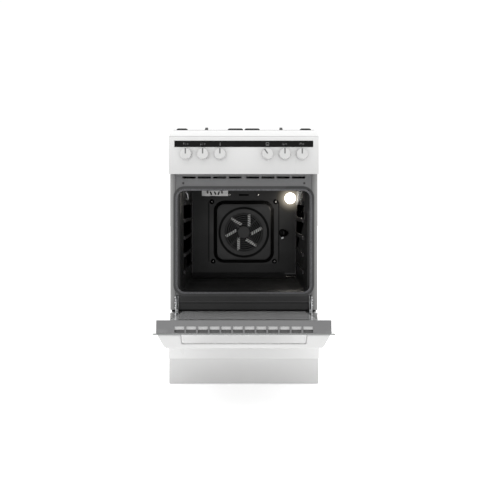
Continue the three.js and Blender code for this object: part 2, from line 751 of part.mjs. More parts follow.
// A finger from the frame towards the burner: its top climbs from the frame to a flat end.
function fingerAlong(side, frameEnd, tip) {
  const half = FINGER.width / 2;
  const low = GRATE.low + 1;
  const inward = Math.sign(tip - frameEnd);
  const outline = [
    [frameEnd, low],
    [tip, low],
    [tip, FINGER.alongTop - 3],
    [tip - inward * 3, FINGER.alongTop],
    [tip - inward * FINGER.flat, FINGER.alongTop],
    [frameEnd + inward * GRATE.bar, GRATE.high],
    [frameEnd, GRATE.high - 1],
  ];
  const shape = polygon(inward > 0 ? outline : outline.toReversed());
  return sidePlate(shape, [side * BURNER_X - half, side * BURNER_X + half]);
}

// A pan support: a flat frame over a front and a rear burner, four fingers to each burner.
function panSupport(side) {
  const { inner, outer, front, back, bar, low, high } = GRATE;
  const level = [low, high];
  const middle = (FRONT_BURNER_Y + REAR_BURNER_Y) / 2;
  const pieces = [
    block(sided(side, inner, outer), [front, front + bar], level),
    block(sided(side, inner, outer), [middle - bar / 2, middle + bar / 2], level),
    block(sided(side, inner, outer), [back - bar, back], level),
    block(sided(side, inner, inner + bar), [front, back], level),
    block(sided(side, outer - bar, outer), [front, back], level),
  ];
  const ends = [[FRONT_BURNER_Y, front, middle], [REAR_BURNER_Y, middle, back]];
  for (const [y, nearEnd, farEnd] of ends) {
    pieces.push(fingerAcross(side, BURNER_X + FINGER.clear, outer, y));
    pieces.push(fingerAcross(side, inner, BURNER_X - FINGER.clear - 1, y));
    pieces.push(fingerAlong(side, nearEnd, y - FINGER.reach));
    pieces.push(fingerAlong(side, farEnd, y + FINGER.reach));
  }
  for (const x of [inner + 5, outer - 5]) {
    for (const y of [front + 5, back - 5]) {
      pieces.push(block(sided(side, x - 5, x + 5), [y - 5, y + 5], [HOB_SURFACE + GAP, low + 1]));
    }
  }
  return join(...pieces);
}

add("hob_plate", hobPlate(), WHITE_ENAMEL);
for (const [burnerName, side, y, radius] of BURNERS) {
  add(`burner_cup_${burnerName}`, burnerCup(radius), ALUMINIUM).position.set(side * BURNER_X, y, 0);
  add(`burner_cap_${burnerName}`, burnerCap(radius), BLACK_ENAMEL).position.set(side * BURNER_X, y, 0);
}
for (const [sideName, side] of SIDES) {
  add(`pan_support_${sideName}`, panSupport(side), BLACK_ENAMEL);
}

// ---- Drawer -------------------------------------------------------------------------------
const DRAWER_FACE = -312;
const DRAWER_FACE_BACK = -292;
const DRAWER_BOX_BACK = 120;
const DRAWER_BOX_HALF = 224;
const DRAWER_BOX_TOP = 172;

function drawerFront() {
  const skin = 1.5;
  const inner = HALF_WIDTH - skin;
  const height = [DRAWER_BOTTOM, DRAWER_TOP];
  const innerHeight = [DRAWER_BOTTOM + skin, DRAWER_TOP - skin];
  return cut(
    block([-HALF_WIDTH, HALF_WIDTH], [DRAWER_FACE, DRAWER_FACE_BACK], height),
    block([-inner, inner], [DRAWER_FACE + skin, DRAWER_FACE_BACK + 5], innerHeight),
  );
}

function drawerBox() {
  const floor = RAIL_TOP + 0.5;
  const front = DRAWER_FACE_BACK + GAP;
  const half = DRAWER_BOX_HALF;
  const inner = half - SHEET;
  const length = [front, DRAWER_BOX_BACK];
  const innerLength = [front + SHEET, DRAWER_BOX_BACK - SHEET];
  return cut(
    block([-half, half], length, [floor, DRAWER_BOX_TOP]),
    block([-inner, inner], innerLength, [floor + SHEET, DRAWER_BOX_TOP + 5]),
  );
}

add("drawer_front", drawerFront(), WHITE_ENAMEL);
add("drawer_box", drawerBox(), ZINC);

// ---- Door hinges --------------------------------------------------------------------------
const PIN_RADIUS = 3;
const EAR_RADIUS = 8;
const STRAP = { inner: 30, outer: 42, end: 100 }; // curved check strap, in mm and degrees

function disc(y, z, radius, [x0, x1], sides = 16) {
  return rodAlongX(radius, y, z, [Math.min(x0, x1), Math.max(x0, x1)], sides);
}

// The body's half of a hinge: a channel with two ears and the pin between them.
function hingeReceiver(side) {
  const back = PIVOT_Y + 50;
  const height = [PIVOT_Z - EAR_RADIUS, PIVOT_Z + 52];
  const pieces = [];
  for (const inner of [HINGE_X - 4.4, HINGE_X + 3]) {
    const wall = sided(side, inner, inner + 1.4);
    pieces.push(block(wall, [PIVOT_Y + 1, back], height));
    pieces.push(disc(PIVOT_Y, PIVOT_Z, EAR_RADIUS, wall));
  }
  pieces.push(block(sided(side, HINGE_X - 4.4, HINGE_X + 4.4), [back - 1.4, back], height));
  pieces.push(disc(PIVOT_Y, PIVOT_Z, PIN_RADIUS, sided(side, HINGE_X - 4, HINGE_X + 4), 12));
  return join(...pieces);
}

// The door's half, drawn about the hinge line with the door upright: a housing inside the door,
// an eye round the pin, and a curved strap that slides into the body as the door is shut.
function hingeArm(side) {
  const plate = sided(side, HINGE_X - 1.4, HINGE_X + 1.4);
  const span = [0, STRAP.end].map((angle) => THREE.MathUtils.degToRad(90 - angle));
  const strap = new THREE.Shape();
  strap.absarc(0, 0, STRAP.outer, span[0], span[1], true);
  strap.absarc(0, 0, STRAP.inner, span[1], span[0], false);
  strap.closePath();
  const arm = join(
    disc(0, 0, EAR_RADIUS - 0.5, plate),
    block(plate, [-11, -3], [0, 62]),
    block(plate, [-11, 0.4], [STRAP.inner, STRAP.outer]),
    sidePlate(strap, plate, 4),
    block(sided(side, 224, 238), [-30, -2], [61, 170]),
  );
  return cut(arm, disc(0, 0, PIN_RADIUS + 0.5, sided(side, HINGE_X - 4, HINGE_X + 4), 12));
}

for (const [sideName, side] of SIDES) {
  add(`hinge_receiver_${sideName}`, hingeReceiver(side), ZINC);
}

// ---- Door ---------------------------------------------------------------------------------
// The door is drawn upright about its hinge line, its inner face at Y = 0, then swung open.
const door = new THREE.Group();
door.position.set(0, PIVOT_Y, PIVOT_Z);
door.rotation.x = DOOR_OPEN;
cooker.add(door);

const OUTER_PANEL = 4;
const FRAME_BACK = -(DOOR_THICKNESS - OUTER_PANEL - 0.3);
const WINDOW = { half: 206, bottom: 22, top: 431 };
const VENTS = 12;
const VENT_PITCH = 32;

function doorFrame() {
  const skin = 1.5;
  const half = DOOR_FRAME_HALF;
  const bottom = -DOOR_BELOW_PIVOT + 2;
  const top = DOOR_ABOVE_PIVOT - 1;
  const { half: glass, bottom: low, top: high } = WINDOW;
  const shell = cut(
    block([-half, half], [FRAME_BACK, 0], [bottom, top]),
    block([-half + skin, half - skin], [FRAME_BACK - 5, -skin], [bottom + skin, top - skin]),
  );
  const ledge = block([-glass - 2, glass + 2], [-6.2, -skin / 2], [low - 2, high + 2]);
  const tools = [
    block([-glass, glass], [-4.7, 5], [low, high]),
    block([-glass + 7, glass - 7], [-10, 5], [low + 7, high - 7]),
  ];
  for (const side of [-1, 1]) {
    tools.push(block(sided(side, 221, 233), [-12, 5], [bottom - 5, 64]));
  }
  for (let vent = 0; vent < VENTS; vent += 1) {
    const x = (vent - (VENTS - 1) / 2) * VENT_PITCH;
    tools.push(block([x - 13.5, x + 13.5], [-34, -17], [top - skin - 1, top + 5]));
  }
  return cut(join(shell, ledge), ...tools);
}

const HANDLE = { low: 424, high: 454, face: -76, back: -65, base: -40.3 };

// One broad bar bent back at both ends, with room for fingers behind it.
function doorHandle() {
  const { low, high, face, back, base } = HANDLE;
  const mirrored = (points) => points.toReversed().map(([x, y]) => [-x, y]);
  const outside = [[238, base], [219, face + 4], [213, face]];
  const inside = [[171, back], [174, base]];
  const outline = [...outside, ...mirrored(outside), ...mirrored(inside), ...inside];
  return floorPlate(polygon(outline), [low, high]);
}

function outerPanel() {
  const depth = [-DOOR_THICKNESS, OUTER_PANEL - DOOR_THICKNESS];
  return block([-HALF_WIDTH, HALF_WIDTH], depth, [-DOOR_BELOW_PIVOT, DOOR_ABOVE_PIVOT]);
}

function innerGlass() {
  const half = WINDOW.half - 0.5;
  return block([-half, half], [-4.3, -0.3], [WINDOW.bottom + 0.5, WINDOW.top - 0.5]);
}

add("door_frame", doorFrame(), GREY_ENAMEL, door);
add("door_outer_panel", outerPanel(), WHITE_ENAMEL, door);
add("door_inner_glass", innerGlass(), GLASS, door);
add("door_handle", doorHandle(), WHITE_ENAMEL, door);
for (const [sideName, side] of SIDES) {
  add(`hinge_arm_${sideName}`, hingeArm(side), ZINC, door);
}

// ---- Origin -------------------------------------------------------------------------------
const doorTip = Math.sin(DOOR_OPEN) * DOOR_ABOVE_PIVOT + Math.cos(DOOR_OPEN) * DOOR_THICKNESS;
cooker.position.y = -(BODY_BACK + PIVOT_Y - doorTip) / 2;

export default cooker;
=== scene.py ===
"""Looks, small fittings, light and camera for a freestanding gas cooker with its oven door let down."""
import json
import math

import bmesh
import bpy
from mathutils import Matrix, Vector


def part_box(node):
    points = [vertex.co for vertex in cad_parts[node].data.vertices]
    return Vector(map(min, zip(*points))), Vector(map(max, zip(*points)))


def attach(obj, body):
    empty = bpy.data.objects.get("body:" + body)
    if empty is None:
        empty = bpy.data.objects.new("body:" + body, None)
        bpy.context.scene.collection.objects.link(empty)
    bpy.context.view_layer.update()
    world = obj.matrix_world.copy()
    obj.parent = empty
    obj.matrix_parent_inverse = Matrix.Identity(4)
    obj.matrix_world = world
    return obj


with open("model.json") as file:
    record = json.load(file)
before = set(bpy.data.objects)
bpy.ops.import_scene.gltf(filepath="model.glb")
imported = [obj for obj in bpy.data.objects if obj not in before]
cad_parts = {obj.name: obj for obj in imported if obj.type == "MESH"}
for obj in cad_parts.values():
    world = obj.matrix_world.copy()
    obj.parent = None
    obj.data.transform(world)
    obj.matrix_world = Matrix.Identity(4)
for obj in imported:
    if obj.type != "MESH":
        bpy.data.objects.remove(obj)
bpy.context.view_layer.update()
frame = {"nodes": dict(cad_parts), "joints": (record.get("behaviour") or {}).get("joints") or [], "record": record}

NODES = frame["nodes"]
MM = 0.001
DOOR_ANGLE = math.radians(84)
SIDES = {"left": -1, "right": 1}
BURNERS = {"front_left": 40, "rear_left": 32, "rear_right": 32, "front_right": 24}  # cup radius, mm
PIN_TURNS = (0.8, 1.15)  # directions of the igniter and the sensor from a burner's middle
KNOB_Z = 770.5 * MM
COVE_TOP = 330 * MM  # top of the curve at the foot of the oven's back wall
FAN_AXIS = (0.0, 0.0, 489.5 * MM)
HINGE = next(Vector(joint["pos_m"]) for joint in frame["joints"] if joint["name"] == "door_hinge")
ON_DOOR = Matrix.Translation(HINGE) @ Matrix.Rotation(DOOR_ANGLE, 4, "X")  # the door drawn upright
FUNCTION_TURN = math.radians(35)
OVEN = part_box("oven_cavity")
SHEET = 1.5 * MM  # thickness of the oven's sheet
MOUTH = OVEN[0].y  # front of the oven's ring
BACK_WALL = OVEN[1].y - SHEET  # inner face of the oven's back wall
SIDE_WALL = 209 * MM  # inner face of its side walls, from the middle


def centre(node):
    low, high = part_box(node)
    return (low + high) / 2


# ---- Materials: building blocks ---------------------------------------------------------------
class Look:
    """A material built from patterns laid out in the object's own frame, in metres."""

    def __init__(self, name, roughness=0.4, **sockets):
        self.material = bpy.data.materials.new(name)
        self.material.use_nodes = True
        self.tree = self.material.node_tree
        self.shader = self.tree.nodes["Principled BSDF"]
        self.shader.inputs["Roughness"].default_value = roughness
        for socket, value in sockets.items():
            self.shader.inputs[socket.replace("_", " ")].default_value = value
        self.place = self.add("ShaderNodeTexCoord").outputs["Object"]

    def add(self, kind, inputs=None, **settings):
        node = self.tree.nodes.new(kind)
        for key, value in settings.items():
            setattr(node, key, value)
        for key, value in (inputs or {}).items():
            if isinstance(value, bpy.types.NodeSocket):
                self.tree.links.new(value, node.inputs[key])
            else:
                node.inputs[key].default_value = value
        return node

    def stretched(self, scale):
        mapping = self.add("ShaderNodeMapping", {"Vector": self.place, "Scale": scale})
        return mapping.outputs["Vector"]

    def noise(self, scale, detail=4.0, stretch=(1, 1, 1), roughness=0.55):
        """Cloudy noise with features about 1/scale metres wide, from 0 to 1."""
        place = self.stretched(stretch)
        inputs = {"Vector": place, "Scale": scale, "Detail": detail, "Roughness": roughness}
        return self.add("ShaderNodeTexNoise", inputs).outputs["Fac"]

    def cells(self, scale, output="Distance"):
        inputs = {"Vector": self.place, "Scale": scale}
        return self.add("ShaderNodeTexVoronoi", inputs).outputs[output]

    def waves(self, scale, direction="X", distortion=0.0):
        inputs = {"Vector": self.place, "Scale": scale, "Distortion": distortion, "Detail": 2.0}
        return self.add("ShaderNodeTexWave", inputs, bands_direction=direction).outputs["Fac"]

    def coordinate(self, axis):
        return self.add("ShaderNodeSeparateXYZ", {"Vector": self.place}).outputs[axis]

    def spread(self, value, low, high, to_low=0.0, to_high=1.0):
        """value from low to high becomes to_low to to_high, held at both ends."""
        inputs = {"Value": value, "From Min": low, "From Max": high, "To Min": to_low, "To Max": to_high}
        return self.add("ShaderNodeMapRange", inputs).outputs["Result"]

    def math(self, operation, first, second):
        node = self.add("ShaderNodeMath", {0: first, 1: second}, operation=operation)
        return node.outputs[0]

    def vector(self, operation, *values, output="Vector"):
        inputs = dict(enumerate(values))
        return self.add("ShaderNodeVectorMath", inputs, operation=operation).outputs[output]

    def mix(self, factor, first, second):
        """Colour first where factor is 0 and second where it is 1."""
        node = self.add("ShaderNodeMix", {"Factor": factor}, data_type="RGBA")
        for socket, colour in (("A", first), ("B", second)):
            target = [s for s in node.inputs if s.name == socket and s.type == "RGBA"][0]
            if isinstance(colour, bpy.types.NodeSocket):
                self.tree.links.new(colour, target)
            else:
                target.default_value = (*colour, 1.0)
        return [s for s in node.outputs if s.type == "RGBA"][0]

    def inside(self, middle, half, radius, blur=0.0008):
        """1 inside a box with rounded corners, 0 outside it."""
        away = self.vector("ABSOLUTE", self.vector("SUBTRACT", self.place, middle))
        core = [h - radius for h in half]
        away = self.vector("MAXIMUM", self.vector("SUBTRACT", away, core), (0, 0, 0))
        length = self.vector("LENGTH", away, output="Value")
        return self.spread(length, radius - blur, radius + blur, 1.0, 0.0)

    def colour(self, value):
        self.tree.links.new(value, self.shader.inputs["Base Color"])

    def rough(self, value):
        self.tree.links.new(value, self.shader.inputs["Roughness"])

    def bump(self, *layers):
        """Each layer is (height value, depth in metres)."""
        normal = None
        for height, depth in layers:
            inputs = {"Height": height, "Distance": depth, "Strength": 1.0}
            if normal is not None:
                inputs["Normal"] = normal
            normal = self.add("ShaderNodeBump", inputs).outputs["Normal"]
        self.tree.links.new(normal, self.shader.inputs["Normal"])


def cloudy(look, dark, light, scale=9.0, stretch=(1, 1, 1)):
    """A colour that drifts a little between two values over the whole surface."""
    drift = look.spread(look.noise(scale, 3.0, stretch), 0.3, 0.7)
    return look.mix(drift, dark, light)


def glazed(name, roughness, grit=0.005 * MM, **sockets):
    """Fired enamel still without its colour: a slight orange-peel surface and streaky gloss."""
    look = Look(name, roughness, **sockets)
    streaks = look.noise(14.0, 6.0, (1.0, 1.0, 0.25))
    look.rough(look.spread(streaks, 0.3, 0.75, roughness * 0.9, roughness * 1.2))
    look.bump((look.noise(900.0, 2.0), grit), (look.noise(110.0, 2.0), grit * 1.5))
    return look


def enamel(name, dark, light, roughness, grit=0.005 * MM, **sockets):
    """Enamel in one faintly clouded colour."""
    look = glazed(name, roughness, grit, **sockets)
    look.colour(cloudy(look, dark, light))
    return look


def white_enamel(node, top, bottom):
    """White enamel with painted shade: lighter at the top of a node and darker towards its foot."""
    look = glazed(f"white_{node}", 0.3, Coat_Weight=0.2)
    low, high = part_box(node)
    # painted shade: a ramp in tone from the node's foot up to its top
    painted_shade_ramp = look.spread(look.coordinate("Z"), low.z, high.z)
    clouds = look.spread(look.noise(9.0, 3.0), 0.3, 0.7, -0.06, 0.06)
    tone = look.math("ADD", painted_shade_ramp, clouds)
    look.colour(look.mix(tone, (bottom, bottom, bottom * 0.995), (top, top, top * 0.995)))
    return look.material


def side_enamel():
    """White, with painted shade on the folded front edge beside the oven: a grey that changes across the edge."""
    look = glazed("side_enamel", 0.3, Coat_Weight=0.2)
    low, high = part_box("side_panel_left")
    edge = look.spread(look.coordinate("Y"), low.y + 1.4 * MM, low.y + 2.2 * MM, 1.0, 0.0)
    across = look.math("ABSOLUTE", look.coordinate("X"), 0.0)
    shade_ramp_across = look.spread(across, high.x * -1 + 3 * MM, low.x * -1, 0.0, 1.0)
    # painted shade: the front edge is coloured grey as if in the shadow of the panel and door
    shade = look.mix(shade_ramp_across, (0.13, 0.13, 0.13), (0.31, 0.31, 0.305))
    white = cloudy(look, (0.63, 0.63, 0.625), (0.64, 0.64, 0.635))
    look.colour(look.mix(edge, white, shade))
    return look.material


def grey_enamel():
    dark, light = (0.115, 0.115, 0.117), (0.135, 0.135, 0.138)
    return enamel("grey_enamel", dark, light, 0.42, Specular_IOR_Level=0.4).material


def door_enamel():
    """Glossy grey enamel, which mirrors the cooker's front at a low angle."""
    dark, light = (0.125, 0.125, 0.127), (0.14, 0.14, 0.142)
    coat = {"Coat_Weight": 1.0, "Coat_Roughness": 0.04}
    return enamel("door_enamel", dark, light, 0.1, 0.001 * MM, **coat).material


def speckled(look, ground, fleck):
    """Fine pale flecks, as fired black enamel has."""
    flecks = look.spread(look.cells(900.0), 0.10, 0.16, 1.0, 0.0)
    sparse = look.spread(look.noise(260.0, 2.0), 0.60, 0.68)
    return look.mix(look.math("MULTIPLY", flecks, sparse), ground, fleck)


def black_enamel():
    look = glazed("black_enamel", 0.3)
    ground = cloudy(look, (0.010, 0.010, 0.0105), (0.016, 0.016, 0.016), 6.0)
    look.colour(speckled(look, ground, (0.05, 0.05, 0.05)))
    return look.material


def cavity_enamel():
    """Glossy dark in the oven with a painted glow of the lamp on it, and a paler satin ring round its mouth."""
    look = Look("cavity_enamel", 0.34, Specular_IOR_Level=0.3)
    depth = look.coordinate("Y")
    ring = look.spread(depth, MOUTH + 1.6 * MM, MOUTH + 2.1 * MM, 1.0, 0.0)
    ground = cloudy(look, (0.010, 0.010, 0.0103), (0.018, 0.018, 0.018), 5.0)
    inside = speckled(look, ground, (0.05, 0.05, 0.05))
    look.colour(look.mix(ring, inside, (0.045, 0.045, 0.0455)))
    low = look.spread(look.coordinate("Z"), COVE_TOP - 2 * MM, COVE_TOP, 1.0, 0.0)
    back = look.spread(depth, BACK_WALL - 24 * MM, BACK_WALL - 21 * MM)
    curve = look.math("MULTIPLY", low, back)
    lamp_side = look.spread(look.coordinate("X"), 158 * MM, 170 * MM)
    corner = look.math("MULTIPLY", curve, lamp_side)
    cove = look.math("SUBTRACT", curve, corner)
    streaks = look.spread(look.noise(11.0, 6.0), 0.3, 0.75, 0.3, 0.46)
    streaks = look.math("SUBTRACT", streaks, look.math("MULTIPLY", corner, 0.12))
    away = look.spread(from_axis(look, lamp_axis()), 18 * MM, 66 * MM, 1.0, 0.0)
    dull = look.math("MAXIMUM", cove, look.spread(away, 0.0, 0.3))
    look.rough(look.math("MAXIMUM", streaks, look.math("MULTIPLY", dull, 0.85)))
    look.bump((look.noise(800.0, 2.0), 0.02 * MM), (look.noise(60.0, 2.0), 0.03 * MM))
    # painted light: enamel near the lamp on the back of the oven gives off a warm glow, fading with distance from
    # it
    deep = look.spread(depth, BACK_WALL - 70 * MM, BACK_WALL)
    near = look.math("MULTIPLY", look.math("POWER", away, 2.6), deep)
    painted_lamp_glow = look.mix(near, (0.0, 0.0, 0.0), (0.42, 0.37, 0.28))
    look.tree.links.new(painted_lamp_glow, look.shader.inputs["Emission Color"])
    look.shader.inputs["Emission Strength"].default_value = 1.0
    return look.material


def lamp_axis():
    """The lamp's middle, flattened onto the back wall."""
    middle = centre("lamp_cover")
    return (middle.x, 0.0, middle.z)


def from_axis(look, axis):
    """Distance from a line along Y through the axis point."""
    flat = look.vector("MULTIPLY", look.place, (1, 0, 1))
    return look.vector("DISTANCE", flat, axis, output="Value")


def band(look, value, low, high, blur=0.8 * MM):
    """1 where a value lies from low to high, 0 outside."""
    above = look.spread(value, low - blur, low)
    below = look.spread(value, high, high + blur, 1.0, 0.0)
    return look.math("MULTIPLY", above, below)


def cover_enamel():
    """Black enamel with painted shade: near-black in the groove, down the sloping sides and at the flange's edges.
    """
    look = glazed("cover_enamel", 0.36, Specular_IOR_Level=0.35)
    low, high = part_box("fan_cover")
    ground = cloudy(look, (0.012, 0.012, 0.0123), (0.019, 0.019, 0.019), 6.0)
    ground = speckled(look, ground, (0.05, 0.05, 0.05))
    groove = band(look, from_axis(look, FAN_AXIS), 92 * MM, 100 * MM)
    slope = band(look, look.coordinate("Y"), low.y + 4.2 * MM, high.y - 2.4 * MM)
    across = look.math("ABSOLUTE", look.coordinate("X"), 0.0)
    rim = band(look, across, high.x - 3.4 * MM, high.x + 1 * MM)
    # painted shade: groove, slopes and rim are coloured near-black as if in shadow
    dark = look.math("MAXIMUM", look.math("MAXIMUM", groove, slope), rim)
    look.colour(look.mix(dark, ground, (0.001, 0.001, 0.001)))
    gloss = look.spread(look.noise(20.0, 4.0), 0.3, 0.7, 0.3, 0.42)
    look.rough(look.math("MAXIMUM", gloss, look.math("MULTIPLY", dark, 0.9)))
    return look.material


def gap_black():
    """Near-black and matt: painted shade for gaps and recesses, and the colour of dark parts such as the sensor
    tube and the grill's rod ends.
    """
    look = Look("gap_black", 0.9, Specular_IOR_Level=0.05)
    look.colour(cloudy(look, (0.0008, 0.0008, 0.0008), (0.002, 0.002, 0.002), 80.0))
    look.rough(look.spread(look.noise(300.0, 2.0), 0.3, 0.7, 0.85, 0.95))
    look.bump((look.noise(700.0, 2.0), 0.05 * MM))
    return look.material


def pan_support_enamel():
    look = Look("pan_support_enamel", 0.5)
    wear = look.spread(look.noise(70.0, 6.0), 0.62, 0.8)
    look.colour(look.mix(wear, (0.012, 0.012, 0.012), (0.045, 0.043, 0.042)))
    look.rough(look.spread(look.noise(120.0, 4.0), 0.3, 0.7, 0.42, 0.66))
    look.bump((look.noise(700.0, 3.0), 0.12 * MM), (look.noise(90.0, 3.0), 0.25 * MM))
    return look.material


def burner_cap_enamel():
    look = Look("burner_cap_enamel", 0.42)
    look.colour(cloudy(look, (0.013, 0.013, 0.013), (0.028, 0.027, 0.026), 60.0))
    look.rough(look.spread(look.noise(150.0, 4.0), 0.3, 0.7, 0.34, 0.58))
    look.bump((look.noise(1200.0, 3.0), 0.05 * MM))
    return look.material


def metal(name, dark, light, roughness, stretch=(1, 1, 1), scale=80.0):
    """Bare metal with grain or casting marks that change its tone and gloss."""
    look = Look(name, roughness, Metallic=1.0)
    grain = look.noise(scale, 6.0, stretch)
    look.colour(look.mix(look.spread(grain, 0.3, 0.7), dark, light))
    look.rough(look.spread(grain, 0.3, 0.7, roughness * 0.7, roughness * 1.3))
    look.bump((look.noise(scale * 6, 3.0, stretch), 0.02 * MM))
    return look


def zinc_sheet():
    """Galvanised sheet with its spangle."""
    look = Look("zinc_sheet", Metallic=1.0)
    spangle = look.cells(170.0, "Color")
    tone = look.spread(spangle, 0.2, 0.8)
    look.colour(look.mix(tone, (0.50, 0.51, 0.515), (0.575, 0.585, 0.59)))
    look.rough(look.spread(spangle, 0.2, 0.8, 0.38, 0.47))
    look.bump((look.noise(480.0, 3.0), 0.02 * MM))
    return look.material


def bright_zinc():
    """Newly plated fittings, with a bloom over the metal."""
    look = metal("bright_zinc", (0.78, 0.78, 0.78), (0.90, 0.90, 0.90), 0.4)
    look.shader.inputs["Metallic"].default_value = 0.3
    return look.material


def heater_steel():
    """Scaled dark steel rod; the plate on the back wall is bright zinc."""
    dark, light = (0.10, 0.085, 0.075), (0.21, 0.19, 0.175)
    look = metal("heater_steel", dark, light, 0.45, scale=120.0)
    outside = OVEN[1].y
    plate = look.spread(look.coordinate("Y"), outside - 5.0 * MM, outside - 4.0 * MM)
    scaled = look.spread(look.noise(120.0, 6.0), 0.3, 0.7)
    rod = look.mix(scaled, dark, light)
    look.colour(look.mix(plate, rod, (0.72, 0.72, 0.71)))
    return look.material


def inner_glass():
    """Hazy glass coloured pale grey: the pale grey is painted reflection, as the real inner glass is dark and
    mirror-like.
    """
    look = Look("inner_glass", 0.08, IOR=1.5, Transmission_Weight=0.12)
    haze = look.noise(7.0, 5.0, (1.0, 2.5, 1.0))
    tone = look.spread(haze, 0.35, 0.7)
    # painted reflection: a pale grey body colour stands in for the light the glass mirrors
    look.colour(look.mix(tone, (0.44, 0.442, 0.445), (0.48, 0.482, 0.486)))
    look.rough(look.spread(haze, 0.4, 0.75, 0.06, 0.16))
    look.bump((look.noise(30.0, 2.0), 0.02 * MM))
    return look.material


def door_white_glass():
    """Glass printed white behind, with a dark window with rounded corners."""
    look = Look("door_white_glass", 0.06, Coat_Weight=0.5)
    low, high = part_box("door_outer_panel")
    half = (high - low) / 2
    middle = (low + high) / 2
    window = look.inside(middle, (half.x - 62 * MM, half.y - 105 * MM, 1.0), 22 * MM)
    white = cloudy(look, (0.64, 0.64, 0.635), (0.67, 0.67, 0.665))
    dark = cloudy(look, (0.007, 0.007, 0.008), (0.014, 0.014, 0.015), 12.0)
    printed = look.mix(window, white, dark)
    edge = look.spread(look.coordinate("Y"), low.y + 0.6 * MM, low.y + 1.0 * MM, 1.0, 0.0)
    look.colour(look.mix(edge, printed, (0.20, 0.21, 0.205)))
    look.rough(look.spread(look.noise(9.0, 5.0), 0.35, 0.75, 0.04, 0.12))
    look.bump((look.noise(26.0, 2.0), 0.02 * MM))
    return look.material


def lamp_glass():
    """A lit glass, far brighter in its middle than at its rim."""
    look = Look("lamp_glass", 0.2, Emission_Strength=60.0)
    look.colour(cloudy(look, (0.85, 0.82, 0.76), (1.0, 0.97, 0.92), 90.0))
    mottle = look.spread(look.noise(110.0, 2.0), 0.3, 0.7)
    glow = look.mix(mottle, (1.0, 0.93, 0.82), (1.0, 0.97, 0.90))
    rim = look.spread(from_axis(look, lamp_axis()), 4 * MM, 22 * MM)
    glow = look.mix(rim, glow, (0.008, 0.0068, 0.005))
    look.tree.links.new(glow, look.shader.inputs["Emission Color"])
    look.bump((look.waves(140.0, "Z"), 0.3 * MM))
    return look.material


def plastic(name, dark, light, roughness, depth=0.015 * MM, **sockets):
    """Moulded plastic: a fine spark-eroded grain and slightly uneven gloss."""
    look = Look(name, roughness, IOR=1.49, **sockets)
    look.colour(cloudy(look, dark, light, 25.0))
    look.rough(look.spread(look.noise(60.0, 4.0), 0.3, 0.7, roughness * 0.85, roughness * 1.2))
    look.bump((look.noise(700.0, 2.0), depth))
    return look.material


def gasket():
    look = Look("gasket", 0.85, Sheen_Weight=0.3)
    weave = look.cells(420.0)
    strands = look.spread(weave, 0.1, 0.7)
    look.colour(look.mix(strands, (0.13, 0.13, 0.135), (0.065, 0.065, 0.07)))
    look.rough(look.spread(weave, 0.1, 0.7, 0.8, 0.95))
    look.bump((weave, 0.6 * MM))
    return look.material


def mineral_wool():
    look = Look("mineral_wool", 0.95, Sheen_Weight=0.4)
    fibres = look.noise(260.0, 8.0, (1.0, 0.2, 0.25), 0.7)
    look.colour(look.mix(look.spread(fibres, 0.3, 0.7), (0.30, 0.27, 0.17), (0.58, 0.54, 0.40)))
    look.rough(look.spread(fibres, 0.3, 0.7, 0.88, 1.0))
    look.bump((fibres, 1.2 * MM))
    return look.material


def fan_aluminium():
    """Blades with a painted glow standing in for the lamplight they catch, on a disc and hub coloured near-black
    as painted shade.
    """
    look = Look("fan_aluminium", 0.5, Specular_IOR_Level=0.04)
    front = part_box("fan_impeller")[0].y
    ahead = look.spread(look.coordinate("Y"), front + 13.2 * MM, front + 14.2 * MM, 1.0, 0.0)
    outside = look.spread(from_axis(look, FAN_AXIS), 17.5 * MM, 19.5 * MM)
    blades = look.math("MULTIPLY", ahead, outside)
    grain = look.noise(80.0, 6.0)
    bright = look.mix(look.spread(grain, 0.3, 0.7), (0.82, 0.82, 0.81), (0.92, 0.92, 0.91))
    # painted shade: all but the blades is near-black, as it lies in shadow behind the grille
    look.colour(look.mix(blades, (0.0015, 0.0015, 0.0015), bright))
    # painted light: the blades glow faintly
    painted_blade_glow = look.mix(blades, (0.0, 0.0, 0.0), (0.10, 0.10, 0.097))
    look.tree.links.new(painted_blade_glow, look.shader.inputs["Emission Color"])
    look.shader.inputs["Emission Strength"].default_value = 1.0
    look.rough(look.spread(grain, 0.3, 0.7, 0.42, 0.6))
    look.bump((look.noise(500.0, 3.0), 0.02 * MM))
    return look.material


def print_grey():
    """Pale grey screen print on the black strip."""
    look = Look("print_grey", 0.5)
    look.colour(cloudy(look, (0.13, 0.13, 0.13), (0.18, 0.18, 0.18), 400.0))
    look.rough(look.spread(look.noise(900.0, 2.0), 0.3, 0.7, 0.42, 0.6))
    look.bump((look.noise(1500.0, 2.0), 0.01 * MM))
    return look.material


def ceramic():
    look = Look("ceramic", 0.3, Coat_Weight=0.3)
    look.colour(cloudy(look, (0.62, 0.60, 0.56), (0.74, 0.72, 0.68), 200.0))
    look.rough(look.spread(look.noise(500.0, 3.0), 0.3, 0.7, 0.24, 0.42))
    look.bump((look.noise(1200.0, 2.0), 0.02 * MM))
    return look.material


def floor_look():
    """A pale matt floor that gives off a little light of its own."""
    glow = {"Emission_Color": (1.0, 1.0, 1.0, 1.0), "Emission_Strength": 0.45}
    look = Look("floor_look", 0.7, **glow)
    look.colour(cloudy(look, (0.975, 0.975, 0.975), (0.985, 0.985, 0.985), 1.5))
    look.rough(look.spread(look.noise(6.0, 4.0), 0.3, 0.7, 0.62, 0.8))
    look.bump((look.noise(300.0, 3.0), 0.05 * MM))
    return look.material


